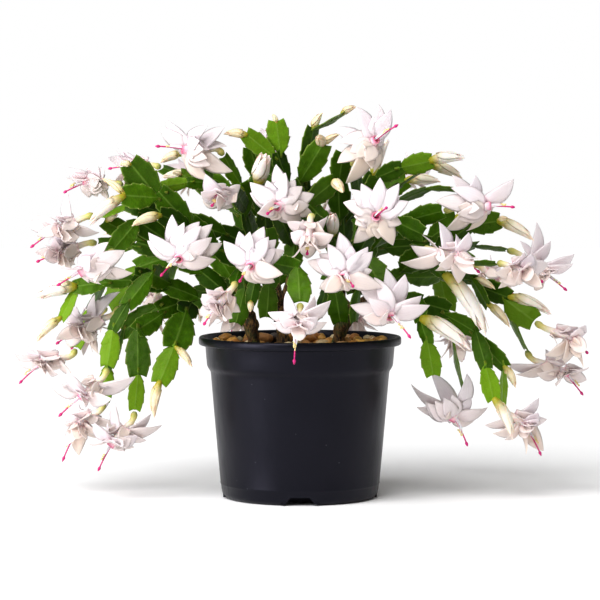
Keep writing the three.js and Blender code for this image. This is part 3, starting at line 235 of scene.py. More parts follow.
def add_points(skin, points, along, across, tint, age=0.0):
    """Adds points with their notes, and gives the number of the first."""
    first = skin["count"]
    count = len(points)
    skin["points"].append(np.asarray(points, dtype=float))
    for note, value in (("along", along), ("across", across), ("tint", tint), ("age", age)):
        skin[note].append(np.broadcast_to(np.asarray(value, dtype=float), (count,)))
    skin["count"] += count
    return first


def add_rings(skin, rings, finish, along, across=0.0, tint=0.0, age=0.0, start=None, end=None):
    """Lays a skin over rings of equal count. An end is closed by a point if one is given, or else flat."""
    rings = np.asarray(rings, dtype=float)
    rows, around = rings.shape[:2]
    along = np.repeat(np.asarray(along, dtype=float), around)
    across = np.tile(np.broadcast_to(np.asarray(across, dtype=float), (around,)), rows)
    first = add_points(skin, rings.reshape(-1, 3), along, across, tint, age)
    corner = first + np.arange(rows * around).reshape(rows, around)
    right = np.roll(corner, -1, axis=1)
    walls = np.stack([corner[:-1], right[:-1], right[1:], corner[1:]], axis=-1).reshape(-1, 4)
    faces = walls.tolist()
    for ring, tip, note, turned in ((corner[0], start, along[0], True), (corner[-1], end, along[-1], False)):
        order = ring[::-1].tolist() if turned else ring.tolist()
        if tip is None:
            faces.append(order)
        else:
            top = add_points(skin, [tip], note, 0.0, tint, age)
            faces += [[a, b, top] for a, b in zip(order, order[1:] + order[:1])]
    skin["faces"] += faces
    skin["finishes"] += [finish] * len(faces)


def piece_from(skin, name, node, finishes):
    """Turns a skin in millimetres into a piece in metres that stands for a node of the model."""
    mesh = bpy.data.meshes.new(name)
    points = np.concatenate(skin["points"]) * MM
    mesh.from_pydata(points.tolist(), [], skin["faces"])
    for note in NOTES:
        values = np.concatenate(skin[note]).astype(np.float32)
        mesh.attributes.new(note, "FLOAT", "POINT").data.foreach_set("value", values)
    for finish in finishes:
        mesh.materials.append(finish)
    mesh.polygons.foreach_set("material_index", np.array(skin["finishes"], dtype=np.int32))
    mesh.shade_smooth()
    mesh.validate()
    piece = bpy.data.objects.new(name, mesh)
    bpy.context.scene.collection.objects.link(piece)
    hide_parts(node)
    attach(piece, "root")


FIRST_SIDE = np.array([0.31, 0.17, 0.93])


def frames_along(path):
    """Two directions square to a path at each of its places, which turn as little as they can."""
    side = FIRST_SIDE
    along = np.gradient(np.asarray(path, dtype=float), axis=0)
    along /= np.linalg.norm(along, axis=1)[:, None]
    sides = []
    for direction in along:
        side = side - direction * (side @ direction)
        side = side / np.linalg.norm(side)
        sides.append(side)
    return np.array(sides), np.cross(along, sides)


def round_rings(path, radii, around):
    """Round rings along a path, for stems, tubes and threads."""
    path = np.asarray(path, dtype=float)
    sides, others = frames_along(path)
    turn = np.arange(around) * 2 * math.pi / around
    spokes = (np.cos(turn)[None, :, None] * sides[:, None, :]
              + np.sin(turn)[None, :, None] * others[:, None, :])
    return path[:, None, :] + spokes * np.asarray(radii, dtype=float)[:, None, None]


def circle_of(around):
    """Places on a flat circle of radius 1."""
    turn = np.arange(around) * 2 * math.pi / around
    return np.stack([np.cos(turn), np.sin(turn), np.zeros(around)], axis=1)


def there_and_back(columns):
    """Shares across a flat ring, over its front and back behind it, and 1 or -1 for the side of each."""
    across = np.array(columns + columns[-2:0:-1])
    side = np.concatenate([np.ones(len(columns)), -np.ones(len(columns) - 2)])
    return across, side


def numbers(seed):
    """A seeded stream of numbers from 0 to 1."""
    state = seed * 7919 + 12345
    while True:
        state = (state * 1664525 + 1013904223) % 4294967296
        yield state / 4294967296

# %% [markdown]
# ## The pot
# A nursery pot is blow-thin polypropylene with a wide band under its lip, a faint ring above the foot,
# and four notches in the foot where water runs out. It could be a cylinder with modifiers, but a real pot
# is turned round one axis, so its outline is drawn once and turned. The water channels are then joined on
# and cut out, as in the solid.

# %% The pot's outline
SOIL_TOP = 124
POT_OUTSIDE = [
    (0, 0), (58, 0), (61.4, 0), (63.2, 0.5), (64.5, 1.5), (65.3, 2.9), (65.8, 4.6),
    (66.45, 10.6), (66.7, 11.2), (67.0, 11.8), (67.05, 12.6), (66.95, 13.4),
    (69.6, 42), (72.3, 73), (74.8, 103), (75.1, 105), (75.5, 106.3), (76.3, 107.5), (77.3, 109),
    (77.9, 110.5), (78.2, 112.2), (78.8, 119), (79.4, 126.6), (79.6, 127.5), (80.2, 127.9), (82, 128),
    (83.8, 128.1), (84.6, 128.6), (84.95, 129.5), (85, 131), (85, 132.8), (84.7, 134), (84, 134.8), (83, 135),
]
POT_INSIDE = [
    (82, 134.9), (81, 134.4), (80.3, 133.4), (79.6, 131.6), (78.2, 127.4), (76.8, 112.2), (76.2, 110.4),
    (74.6, 107.6), (73.7, 105.6), (73.3, 103), (71, 76), (67.8, 42), (64.4, 9), (63.2, 5), (61.2, 2.8),
    (59, 2), (0, 2),
]
ROUND = 144


def turned_body(outline, around):
    """A closed skin turned round the upright axis; the outline starts and ends on it."""
    rings = [circle_of(around) * radius + np.array([0, 0, height]) for radius, height in outline[1:-1]]
    skin = new_skin()
    low, high = ((0, 0, height) for _, height in (outline[0], outline[-1]))
    add_rings(skin, rings, 0, np.linspace(0, 1, len(rings)), start=low, end=high)
    return skin


def raw_object(skin, name):
    """A skin as a bare object, used only while shapes are joined and cut."""
    mesh = bpy.data.meshes.new(name)
    mesh.from_pydata((np.concatenate(skin["points"]) * MM).tolist(), [], skin["faces"])
    made = bpy.data.objects.new(name, mesh)
    bpy.context.scene.collection.objects.link(made)
    return made


def combine(target, tool, how):
    """Joins a tool to a target or cuts it out, and keeps only the result."""
    step = target.modifiers.new(how, "BOOLEAN")
    step.operation = how
    step.solver = "EXACT"
    step.object = tool
    seen_mesh = target.evaluated_get(bpy.context.evaluated_depsgraph_get())
    result = bpy.data.meshes.new_from_object(seen_mesh)
    target.modifiers.clear()
    target.data = result
    bpy.data.objects.remove(tool)

# %% Water channels under the floor
CHANNEL_COUNT = 4
CHANNEL_LOW = 28
CHANNEL_HIGH = 15.4
CHANNEL_HEIGHT = 6.8
CHANNEL_INNER = 38
COVER_OUTER = 64.3
BEYOND_POT = 95
POT_WALL = 1.6
DRAIN_CIRCLE, DRAIN_RADIUS = 46, 4


def channel_skin(grow, inner, outer, low_edge):
    """Four bars with sloping sides that run out from under the floor."""
    skin = new_skin()
    for k in range(CHANNEL_COUNT):
        turn = -math.pi / 2 + k * 2 * math.pi / CHANNEL_COUNT
        out = np.array([math.cos(turn), math.sin(turn), 0])
        wide = np.array([-math.sin(turn), math.cos(turn), 0])
        low, high, top = CHANNEL_LOW / 2 + grow, CHANNEL_HIGH / 2 + grow, CHANNEL_HEIGHT + grow
        corners = [(-low, low_edge), (low, low_edge), (high, top), (-high, top)]
        ring = np.array([wide * across + np.array([0, 0, height]) for across, height in corners])
        add_rings(skin, [ring + out * inner, ring + out * outer], 0, [0, 1])
    return skin


pot = raw_object(turned_body(POT_OUTSIDE + POT_INSIDE, ROUND), "pot_shell")
covers = channel_skin(POT_WALL, CHANNEL_INNER - POT_WALL, COVER_OUTER, 1.0)
combine(pot, raw_object(covers, "covers"), "UNION")
channels = channel_skin(0, CHANNEL_INNER, BEYOND_POT, -1.0)
combine(pot, raw_object(channels, "channels"), "DIFFERENCE")
for k in range(CHANNEL_COUNT):
    turn = k * 2 * math.pi / CHANNEL_COUNT
    x, y = DRAIN_CIRCLE * math.sin(turn), DRAIN_CIRCLE * math.cos(turn)
    drain_path = [(x, y, height) for height in (-2, 12)]
    drain = new_skin()
    add_rings(drain, round_rings(drain_path, [DRAIN_RADIUS] * 2, 24), 0, [0, 1])
    combine(pot, raw_object(drain, "drain"), "DIFFERENCE")
print("faces in the pot:", len(pot.data.polygons))

# %% [markdown]
# ## Moulded polypropylene
# The pot is carbon-black polypropylene straight from the mould. It is not shiny: its skin has a fine
# orange-peel grain that spreads every reflection, and dust and water leave small pale specks. A deep blue
# black with a satin roughness gives that look. The grain is really about 0.3 mm, and is drawn at 0.9 mm
# so that it still shows.

# %% Pot finish
moulded_polypropylene, tree = new_finish("moulded_polypropylene")
place = add_node(tree, "ShaderNodeTexCoord").outputs["Object"]
peel = add_node(tree, "ShaderNodeTexNoise", {
    "Vector": place, "Scale": per_mm(0.9), "Detail": 3.0, "Roughness": 0.6})
cloud = add_node(tree, "ShaderNodeTexNoise", {
    "Vector": place, "Scale": per_mm(38), "Detail": 4.0, "Roughness": 0.55})
stretch = add_node(tree, "ShaderNodeMapping", {"Vector": place, "Scale": (1.0, 1.0, 0.12)})
wipe = add_node(tree, "ShaderNodeTexNoise", {
    "Vector": stretch.outputs[0], "Scale": per_mm(3.0), "Detail": 3.0})
speck = add_node(tree, "ShaderNodeTexVoronoi", {"Vector": place, "Scale": per_mm(11)}, feature="F1")
satin = add_node(tree, "ShaderNodeMapRange", {
    "Value": wipe.outputs["Fac"], "From Min": 0.3, "From Max": 0.7, "To Min": 0.28, "To Max": 0.4})
black = layered(tree, "#030408", (cloud.outputs["Fac"], "#0A0B12"),
                (speck.outputs["Distance"], "#6A6C72", 0.035, 0.05, 0.35, 0.0))
close_finish(tree, black, {
    "Roughness": satin.outputs[0], "IOR": 1.49, "Specular IOR Level": 0.27,
    "Specular Tint": (0.8, 0.78, 1.0, 1)}, relief=(peel.outputs["Fac"], 0.25, 0.0002))

pot.data.materials.clear()
pot.data.materials.append(moulded_polypropylene)
pot.name = "nursery_pot"
pot.data.shade_smooth()
pot.data.set_sharp_from_angle(angle=math.radians(38))
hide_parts("pot")
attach(pot, "root")

# %% [markdown]
# ## Potting mix
# Under the gravel is a dark, damp mix of peat and coir. Its top isn't flat: crumbs and short fibres stand
# out of it. The body is turned like the pot, its top is pushed up and down by noise, and short brown
# fibres are strewn over it.

# %% Soil
SOIL_SIDE = [(0, 2.4), (58.6, 2.4), (61, 3.6), (63, 8.8), (66.4, 42), (69.4, 76), (71.8, 104), (73.6, 107),
             (75.2, 110.6), (75.9, 113), (76.6, 121)]
CHANNEL_ROOM = 0.4
SOIL_EDGE, SOIL_MIDDLE, SOIL_ROWS = 76.4, 0.8, 56
MOUND, MOUND_SPREAD = 1.6, 150
TRUNKS = [
    {"foot": (-38, -12), "crown": (-43, -14, 156), "radius": 5.4},
    {"foot": (31, -16), "crown": (35, -19, 150), "radius": 5},
    {"foot": (-14, 26), "crown": (-18, 24, 162), "radius": 5.4},
    {"foot": (32, 24), "crown": (44, 26, 158), "radius": 5},
]


def lump(x, y, size, layer):
    """A smooth rise or hollow, from -1 to 1, of about the given size in millimetres."""
    return perlin.noise(Vector((x / size, y / size, layer)))


def from_trunk(x, y, trunk):
    """How far a place is from the foot of a trunk."""
    return math.hypot(x - trunk["foot"][0], y - trunk["foot"][1])


def soil_height(x, y):
    """The uneven top of the mix: broad hollows, crumbs, and a shallow mound round each stem."""
    broad = lump(x, y, 26, 3.1) * 1.3
    crumbs = lump(x, y, 4.2, 8.7) * 0.9 + lump(x, y, 1.9, 1.4) * 0.4
    mound = sum(MOUND * math.exp(-from_trunk(x, y, trunk) ** 2 / MOUND_SPREAD) for trunk in TRUNKS)
    return SOIL_TOP - MOUND + broad + crumbs + mound


circle = circle_of(ROUND)
soil_rings = [circle * radius + np.array([0, 0, height]) for radius, height in SOIL_SIDE[1:]]
for radius in np.linspace(SOIL_EDGE, SOIL_MIDDLE, SOIL_ROWS):
    ring = circle * radius
    ring[:, 2] = [soil_height(x, y) for x, y, _ in ring]
    soil_rings.append(ring)
soil_skin = new_skin()
add_rings(soil_skin, soil_rings, 0, np.linspace(0, 1, len(soil_rings)),
          start=(0, 0, 2.4), end=(0, 0, soil_height(0, 0)))

soil_body = raw_object(soil_skin, "soil_body")
room = channel_skin(POT_WALL + CHANNEL_ROOM, CHANNEL_INNER - POT_WALL - CHANNEL_ROOM, 80, 0.0)
combine(soil_body, raw_object(room, "room"), "DIFFERENCE")
soil_skin = new_skin()
add_points(soil_skin, [np.array(corner.co) / MM for corner in soil_body.data.vertices], 0.0, 0.0, 0.5)
soil_skin["faces"] = [list(face.vertices) for face in soil_body.data.polygons]
soil_skin["finishes"] = [0] * len(soil_skin["faces"])
bpy.data.objects.remove(soil_body)

FIBRES = 150
FIBRE_REACH = 74
FIBRE_RADII = [0.1, 0.25, 0.28, 0.25, 0.1]
draw = numbers(31)
for _ in range(FIBRES):
    angle = 2 * math.pi * next(draw)
    away = FIBRE_REACH * math.sqrt(next(draw))
    x, y = away * math.cos(angle), away * math.sin(angle)
    heading = 2 * math.pi * next(draw)
    length = 4 + 9 * next(draw)
    rise = 0.4 + 1.6 * next(draw)
    steps = np.linspace(-0.5, 0.5, 5)
    path = [(x + length * s * math.cos(heading + s), y + length * s * math.sin(heading + s),
             soil_height(x, y) + rise * (1 - 4 * s * s) + 0.2) for s in steps]
    add_rings(soil_skin, round_rings(path, FIBRE_RADII, 4), 1, steps + 0.5, tint=next(draw))

# %% Potting mix finish
damp_peat, tree = new_finish("damp_peat")
place = add_node(tree, "ShaderNodeTexCoord").outputs["Object"]
crumb = add_node(tree, "ShaderNodeTexNoise", {
    "Vector": place, "Scale": per_mm(2.2), "Detail": 6.0, "Roughness": 0.7})
grit = add_node(tree, "ShaderNodeTexVoronoi", {"Vector": place, "Scale": per_mm(1.6)})
peat = layered(tree, "#120A06", (crumb.outputs["Fac"], "#4A2F1C"))
close_finish(tree, peat, {"Roughness": 0.92, "IOR": 1.4}, relief=(grit.outputs["Distance"], 0.8, 0.0012))

coir_fibre, tree = new_finish("coir_fibre")
tint = add_node(tree, "ShaderNodeAttribute", attribute_name="tint")
close_finish(tree, layered(tree, "#3A2414", (tint.outputs["Fac"], "#8A6234")), {"Roughness": 0.8})

piece_from(soil_skin, "potting_mix", "soil", [damp_peat, coir_fibre])

# %% [markdown]
# ## Gravel
# A top dressing of river pebbles, 7 to 15 mm long: mostly ochre and orange brown, some of them pale and a
# few dark grey. Each pebble is a ball of triangles, flattened, turned and dented by noise, so that no two are
# alike. They are dropped by seeded draws from the rim inwards, and a stone is left out where it would sit
# inside another or in a stem.

# %% Pebbles
ICO = (1 + math.sqrt(5)) / 2


def ball(levels):
    """Points and triangles of a ball, by halving the edges of an icosahedron."""
    corners = [(-1, ICO, 0), (1, ICO, 0), (-1, -ICO, 0), (1, -ICO, 0), (0, -1, ICO), (0, 1, ICO),
               (0, -1, -ICO), (0, 1, -ICO), (ICO, 0, -1), (ICO, 0, 1), (-ICO, 0, -1), (-ICO, 0, 1)]
    points = [np.array(c) / math.sqrt(1 + ICO * ICO) for c in corners]
    faces = [(0, 11, 5), (0, 5, 1), (0, 1, 7), (0, 7, 10), (0, 10, 11), (1, 5, 9), (5, 11, 4), (11, 10, 2),
             (10, 7, 6), (7, 1, 8), (3, 9, 4), (3, 4, 2), (3, 2, 6), (3, 6, 8), (3, 8, 9), (4, 9, 5),
             (2, 4, 11), (6, 2, 10), (8, 6, 7), (9, 8, 1)]
    for _ in range(levels):
        halves = {}

        def half(a, b):
            key = (min(a, b), max(a, b))
            if key not in halves:
                middle = points[a] + points[b]
                halves[key] = len(points)
                points.append(middle / np.linalg.norm(middle))
            return halves[key]

        finer = []
        for a, b, c in faces:
            ab, bc, ca = half(a, b), half(b, c), half(c, a)
            finer += [(a, ab, ca), (b, bc, ab), (c, ca, bc), (ab, bc, ca)]
        faces = finer
    return np.array(points), faces


def rolled(points, first, second, angle):
    """Turns points in the plane of two of their axes."""
    turning = np.eye(3)
    turning[first, first] = turning[second, second] = math.cos(angle)
    turning[first, second], turning[second, first] = math.sin(angle), -math.sin(angle)
    return points @ turning


X, Y, Z = range(3)
PEBBLE_POINTS, PEBBLE_FACES = ball(2)
PEBBLE_TRIES = 900
RIM_ROOM = 75.5
OUTERMOST, STREWN = 72, 46
SMALLEST, LARGER = 3.4, 4.1
NESTLE = 0.74
HEAP = 6.8
gravel_skin = new_skin()
draw = numbers(77)
laid = []
for _ in range(PEBBLE_TRIES):
    angle = 2 * math.pi * next(draw)
    away = OUTERMOST - STREWN * next(draw) ** 1.7
    big = SMALLEST + LARGER * next(draw) ** 1.3
    x, y = away * math.cos(angle), away * math.sin(angle)
    heading, tip_over, tint, seed = (next(draw) for _ in range(4))
    if (away + big > RIM_ROOM
            or any(math.hypot(x - px, y - py) < NESTLE * (big + other) for px, py, other in laid)
            or any(from_trunk(x, y, trunk) < trunk["radius"] + big for trunk in TRUNKS)):
        continue
    laid.append((x, y, big))
    shift = Vector((seed * 90, 0, 0))
    dents = np.array([1 + 0.22 * perlin.noise(Vector(p * 1.3) + shift) for p in PEBBLE_POINTS])
    stone = PEBBLE_POINTS * dents[:, None] * np.array([big, big * (0.72 + 0.2 * seed), big * 0.66])
    stone = rolled(stone, Z, X, 0.5 * (tip_over - 0.5))
    stone = rolled(stone, X, Y, 2 * math.pi * heading)
    heap = HEAP * max(0, (away - 40) / 34)
    stone += np.array([x, y, SOIL_TOP - 1.5 + heap + big * 0.45])
    first = add_points(gravel_skin, stone, seed, 0.0, tint)
    gravel_skin["faces"] += [[first + a, first + b, first + c] for a, b, c in PEBBLE_FACES]
    gravel_skin["finishes"] += [0] * len(PEBBLE_FACES)
print("pebbles laid:", len(laid))

# %% [markdown]
# Washed river stone is smooth but not polished. The tint that each pebble carries picks its colour, from
# ochre through orange brown to pale quartz and, for a few, dark basalt; veins and freckles of 1 to 3 mm
# keep a single stone from being one flat colour.

# %% Pebble finish
river_stone, tree = new_finish("river_stone")
place = add_node(tree, "ShaderNodeTexCoord").outputs["Object"]
tint = add_node(tree, "ShaderNodeAttribute", attribute_name="tint").outputs["Fac"]
freckle = add_node(tree, "ShaderNodeTexNoise", {
    "Vector": place, "Scale": per_mm(2.4), "Detail": 5.0, "Roughness": 0.65}).outputs["Fac"]
stone_colour = layered(
    tree, "#EDB856",
    (tint, "#AC712E", 0.0, 0.55), (tint, "#E6D2A4", 0.62, 0.74), (tint, "#4A4642", 0.89, 0.9),
    (freckle, "#5C3312", 0.35, 0.7, 0.0, 0.4))
close_finish(tree, stone_colour, {"Roughness": 0.48, "IOR": 1.54}, relief=(freckle, 0.35, 0.0005))

piece_from(gravel_skin, "river_gravel", "gravel", [river_stone])

# %% [markdown]
# ## Where everything grows
# Every joint below was read from the photograph, in millimetres: how far across it lies from the
# middle of the pot, how high it stands, and how far behind the middle it is. A shoot names its trunk and
# the place where it starts. A branch gives the joints that it runs through; it starts with the shoot, or
# else after its name come the earlier branch and the joint that it leaves. A joint may also give the turn
# of its segment about its length, in degrees, and the segment's width. A bud names its joint, then the
# place of its tip and its radius. A bloom names its joint, then its mouth, the tip of its style, and the
# tips of the petals that can be seen; a bloom on the far side gives only the way that it faces.

# %% The top and the left of the plant
READINGS = """
shoot 1 trunk 2: -8 186 2
  branch: -4 215 -6, 0 243 -18, 3 268 -32
  branch 0 2: 11 311 -34 40 20, 37 322 -30 80 15
    bud 0: 19 322 -36 3
    bud 1: 47 327 -30 2.6
  branch 0 2: 20 297 -50 5 21
    bud 0: 15 301 -70 4
    bud 0: 33 304 -52 2.6
  branch 0 1: -8 266 -38 0 18, -20 290 -42 10 19, -20 316 -42 0 19
    bud 2: -23 321 -42 1.6
  branch 3 1: -46 305 -44 5 17
    bud 0: -64 304 -46 3.4
  branch 3 0: -34 290 -20 30 15
  branch 0 0: -20 240 -30 30, -36 264 -56 50 14
    bud 1: -28 288 -68 7
  branch 0 1: 24 264 -24 40
    bud 0: 18 238 -44 5
shoot 2 trunk 2: -28 184 2
  branch: -38 212 -8, -46 240 -24, -50 264 -42 10 20
  branch 0 2: -64 286 -48 40 15
    bloom 0: -99 291 -58, -121 294 -62, -112 317, -117 310, -63 310, -61 294, -56 273, -83 267, -86 306
  branch 0 1: -54 256 -60 30 15
    bloom 0: -70 250 -76, -74 244 -84, -83 256, -81 247, -69 241, -57 243, -79 271, -50 262
  branch 0 1: -62 254 -10, -80 264 -12 20, -101 271 -12 10 15
    bud 2: -107 272 -14 1.8
  branch 3 1: -95 264 -18 20 12, -117 260 -20 30 12
  branch 3 1: -83 291 -8 50 14, -101 288 -16 40 12
    bud 0: -84 306 -8 2.2
    bud 1: -117 280 -20 3.4
shoot 3 trunk 0: -56 182 -10
  branch: -72 208 -16, -92 232 -26 20, -119 257 -36 10 22
  branch 0 2: -143 281 -40 0 26
    bud 0: -151 279 -42 2.4
  branch 0 2: -149 253 -46 12 22
    bud 0: -177 227 -52 4.6
    bud 0: -166 267 -44 2.6
  branch 0 2: -148 262 -14 30 18
    bloom 0: -182 265 -14, -198 255 -16, -169 278, -195 276, -197 268, -177 251, -163 277, -160 249
  branch 0 1: -116 238 -14 30, -146 246 -14 40, -172 237 -16 60 15
    bloom 2: -207 223 -20, -226 209 -22, -195 257, -230 230, -205 236, -168 222, -221 219, -224 236
  branch 0 1: -118 237 -52 15 19
    bud 0: -141 227 -60 4
shoot 4 trunk 0: -60 170 -2
  branch: -84 190 -4, -110 210 -14, -138 233 -34 10 20
  branch 0 2: -156 208 -50 12 19
    bloom 0: -185 187 -54, -204 177 -58, -146 207, -160 214, -154 184, -178 181, -203 195, -140 188
  branch 0 1: -138 214 -4, -165 232 -2 15 17
    bud 1: -152 237 -8 2.4
  branch 2 0: -170 213 4 40 16
    bloom 0: -207 203 -4, -221 197 -6, -222 205, -192 193, -214 212, -176 200, -180 226
shoot 5 trunk 0: -62 158 8
  branch: -88 168 10, -114 178 4, -140 187 -4, -165 182 -8 30 16, -190 176 -8 25 17
    bud 4: -222 167 -12 6
  branch 0 4: -201 148 -12 35 12
    bud 0: -221 130 -14 3.6
  branch 0 1: -125 188 -34 20, -146 160 -44 10 17, -158 139 -48 20 13
  branch 2 2: -162 109 -48 5 17
    bloom 0: -185 82 -52, -203 67 -56, -211 96, -138 101, -181 78, -164 84, -195 106, -152 92
  branch 0 2: -151 160 16 60 15
    bloom 0: -190 139 10, -205 128 8, -172 170, -151 172, -205 132, -195 126, -182 134, -160 142
  branch 0 3: -180 154 42 30 14, -189 124 38 20 15
    bloom 1: -222 111 30, -237 94 30, -241 121, -238 112, -213 102, -205 124, -192 104, -228 127
"""

# %% The left and the middle of the front
READINGS += """
shoot 6 trunk 2: -44 176 26
  branch: -68 176 30, -94 168 22, -120 156 4, -138 139 -12 20 20
  branch 0 3: -136 101 -20 8 22, -139 72 -20 5 14
    bloom 1: -160 42 -22, -170 21 -24, -155 79, -125 70, -116 60, -129 47, -178 44, -148 38
  branch 0 1: -98 152 -20, -107 123 -38 0 27, -119 94 -42 5 20
    bud 1: -91 107 -40 2.8
    bud 2: -123 65 -44 4
  branch 0 2: -150 138 24 30, -162 108 30 60, -165 80 26 10 15
    bloom 2: -188 58 26, -200 29 28, -198 42, -186 34, -180 48, -186 78, -160 84, -150 62
shoot 7 trunk 0: -42 172 -34
  branch: -46 198 -54, -40 204 -84 20
    bloom 1: -42 193 -106, -51 180 -120, -64 215, -51 223, -30 227, -20 216, -13 207, -21 180, -14 187, -36 179
  branch 0 0: -54 180 -78 40 15
    bloom 0: -72 157 -92, -81 144 -98, -79 175, -84 153, -78 138, -50 155, -61 148
  branch 0 0: -70 208 -60 30, -94 210 -72 30
    bloom 1: -102 199 -94, -117 185 -108, -127 222, -128 215, -107 237, -84 231, -73 229, -65 213, -78 199, -96 195
  branch 0 0: -36 184 -86 30 14, -42 161 -96 10 12
    bud 1: -42 154 -98 2.2
  branch 0 0: -22 200 -66 30, 0 192 -90 15 17, 0 163 -100 0 20
    bloom 2: -3 140 -112, -5 111 -118, -11 173, 12 169, -27 155, -26 147, 26 165, 23 147, 0 131
  branch 4 0: -28 226 -78 10 20
  branch 0 0: -46 172 -46 20 18, -54 145 -40 30 17
  branch 4 0: -26 176 -56 20 17, -28 150 -46 0 17
shoot 8 trunk 1: 36 174 -36
  branch: 42 200 -56, 40 200 -86 30
    bloom 1: 36 184 -106, 45 176 -120, 33 222, 6 198, 16 204, 57 210, 61 206, 16 175, 38 173, 69 176
  branch 0 0: 58 222 -72 30
    bloom 0: 64 236 -96, 73 243 -110, 67 268, 43 258, 51 263, 83 263, 36 247, 91 248, 45 213, 78 211
  branch 0 0: 26 222 -68 30, 11 234 -90 25 15
    bud 0: 28 237 -96 5
    bloom 1: 7 213 -100, 6 203 -104, -11 231, 23 236, -7 201, 6 200, 18 206, 23 210
  branch 2 0: 4 248 -72 40
    bloom 0: -20 243 -92, -28 237 -106, -20 279, -4 266, -42 264, -42 255, -36 238, 12 254, 11 237, -4 230
  branch 0 0: 56 202 -72 30, 70 173 -82 0 24
    bloom 1: 76 150 -100, 93 133 -112, 47 184, 72 192, 88 187, 102 169, 109 161, 42 161, 66 148
  branch 3 0: 30 266 -68 30
    bud 0: 36 255 -92 4
  branch 0 0: 28 174 -52 20 18, 34 146 -42 0 18
  branch 0 0: 50 172 -48 20 17, 46 146 -44 0 17
"""

# %% The right of the plant
READINGS += """
shoot 9 trunk 3: 52 186 10
  branch: 60 214 4, 56 244 -14, 64 270 -24, 86 277 -28 0 16, 111 282 -30 10 18
    bud 4: 138 284 -32 4.8
  branch 0 1: 45 277 -54 45 15
    bloom 0: 64 300 -78, 82 312 -86, 66 329, 76 325, 47 327, 29 309, 60 275, 31 280, 38 263, 70 286
  branch 0 1: 84 262 -14 60, 112 279 -14 80 14
    bud 1: 136 267 -16 4.4
  branch 0 1: 82 248 -30 40, 107 259 -38 60, 131 257 -40 70 14
  branch 0 0: 84 234 -36 30, 120 240 -46 15 18
    bloom 1: 160 244 -50, 180 243 -54, 127 270, 147 270, 179 267, 113 248, 121 224, 149 231
  branch 4 0: 104 220 -60 15 19
shoot 10 trunk 3: 64 172 2
  branch: 90 190 -4, 118 208 -10, 143 229 -18 30, 168 232 -22 15 20
    bud 3: 175 233 -24 2.6
    bud 3: 196 215 -26 4.4
  branch 0 1: 148 211 6 60, 173 207 10 70 14
    bloom 1: 207 185 6, 224 173 4, 198 231, 184 215, 210 215, 230 204, 229 196, 199 178
  branch 0 1: 142 196 -30 60, 165 196 -44 60 13
    bloom 1: 190 188 -52, 204 180 -56, 163 188, 166 175, 188 206, 208 196, 203 176
  branch 0 0: 118 186 12, 148 182 12 50, 177 167 4 30, 197 147 -4 0 24
    bud 1: 164 174 -4 3
    bud 2: 211 153 0 4.6
    bloom 3: 233 131 -8, 242 120 -8, 205 119, 214 114, 238 108, 222 112, 226 143
  branch 3 2: 190 123 22 80 14
    bloom 0: 226 103 24, 238 85 24, 173 112, 181 103, 243 109, 241 98, 214 95, 206 124
  branch 0 0: 102 206 -38, 105 208 -68 40
    bloom 1: 136 201 -78, 151 188 -82, 116 231, 102 220, 84 197, 93 211, 154 201, 133 179, 146 187
  branch 5 0: 122 186 -58 50 14
    bud 0: 156 135 -62 6.4
  branch 3 1: 158 160 -12 50 13
    bud 0: 176 142 -12 3.4
shoot 11 trunk 1: 54 160 -14
  branch: 78 166 -20, 104 166 -24, 126 156 -26 20 20, 150 137 -28 30 18
  branch 0 3: 173 108 -26 35 17, 171 78 -20 65 14
    bud 0: 181 91 -28 3.2
    bloom 1: 192 58 -14, 203 34 -14, 201 83, 198 66, 162 53, 155 60, 190 35, 205 38
  branch 0 3: 157 107 -42 10 15, 163 80 -44 5 16
    bud 1: 179 47 -46 4.6
  branch 0 1: 101 148 -50 30 15
    bud 0: 143 123 -58 6.4
  branch 3 0: 108 128 -46 30 14, 112 101 -44 0 17
  branch 0 2: 130 130 -4 60, 137 92 -6 75 14
    bloom 1: 127 63 -10, 141 42 -12, 110 104, 139 105, 93 95, 98 75, 158 75, 146 63
"""

# %% The back of the plant
READINGS += """
shoot 12 trunk 2: -22 184 40
  branch: -34 212 58, -52 242 84, -74 262 112
    bloom 2: -0.7 0.7 0.1
  branch 0 1: -84 262 84, -116 276 92
    bloom 1: -0.9 0.4 -0.1
  branch 0 1: -28 272 98
    bloom 0: -0.1 0.6 0.6
  branch 0 0: -40 202 94, -48 174 118
    bloom 1: -0.2 0.5 -0.8
  branch 0 0: -68 208 76, -104 208 88, -138 192 90, -162 160 84
    bloom 3: -0.6 0.3 -0.7
  branch 4 1: -116 178 112
    bloom 0: -0.3 0.5 -0.8
  branch 4 1: -136 224 104
    bud 0: -166 220 112 4.6
  branch 3 0: -76 176 124
    bud 0: -84 146 132 4.4
  branch 0 0: -30 240 42 30, -34 268 28, -42 294 20 10
  branch 8 0: -60 258 36, -88 270 40
    bud 1: -116 268 48 4.4
  branch 0 0: -66 222 34 30, -96 232 32
  branch 8 0: -4 256 24 40
  branch 0 0: -14 178 52 20
shoot 13 trunk 3: 34 178 46
  branch: 40 208 62, 54 238 82, 76 260 106
    bloom 2: 0.6 0.7 0.2
  branch 0 1: 62 272 78
    bud 0: 74 300 92 4.8
  branch 0 0: 22 234 88
    bloom 0: -0.1 0.9 -0.1
  branch 0 0: 44 200 96, 46 170 118
    bloom 1: 0 0.5 -0.8
  branch 0 0: 74 210 72, 110 212 80, 144 196 84
    bloom 2: 0.7 0.3 -0.6
  branch 4 1: 118 188 106, 124 156 120
    bloom 1: 0.3 0.4 -0.8
  branch 4 1: 132 234 92
    bud 0: 158 244 100 4.4
  branch 3 0: 76 178 116
    bud 0: 84 148 126 4.2
  branch 0 0: 36 236 44 30, 32 264 30, 36 290 22 10
  branch 8 0: 62 254 38, 90 266 42
    bud 1: 118 264 48 4.4
  branch 0 0: 72 222 40 30, 102 232 38
  branch 0 0: 22 180 56 20, 16 152 60
"""

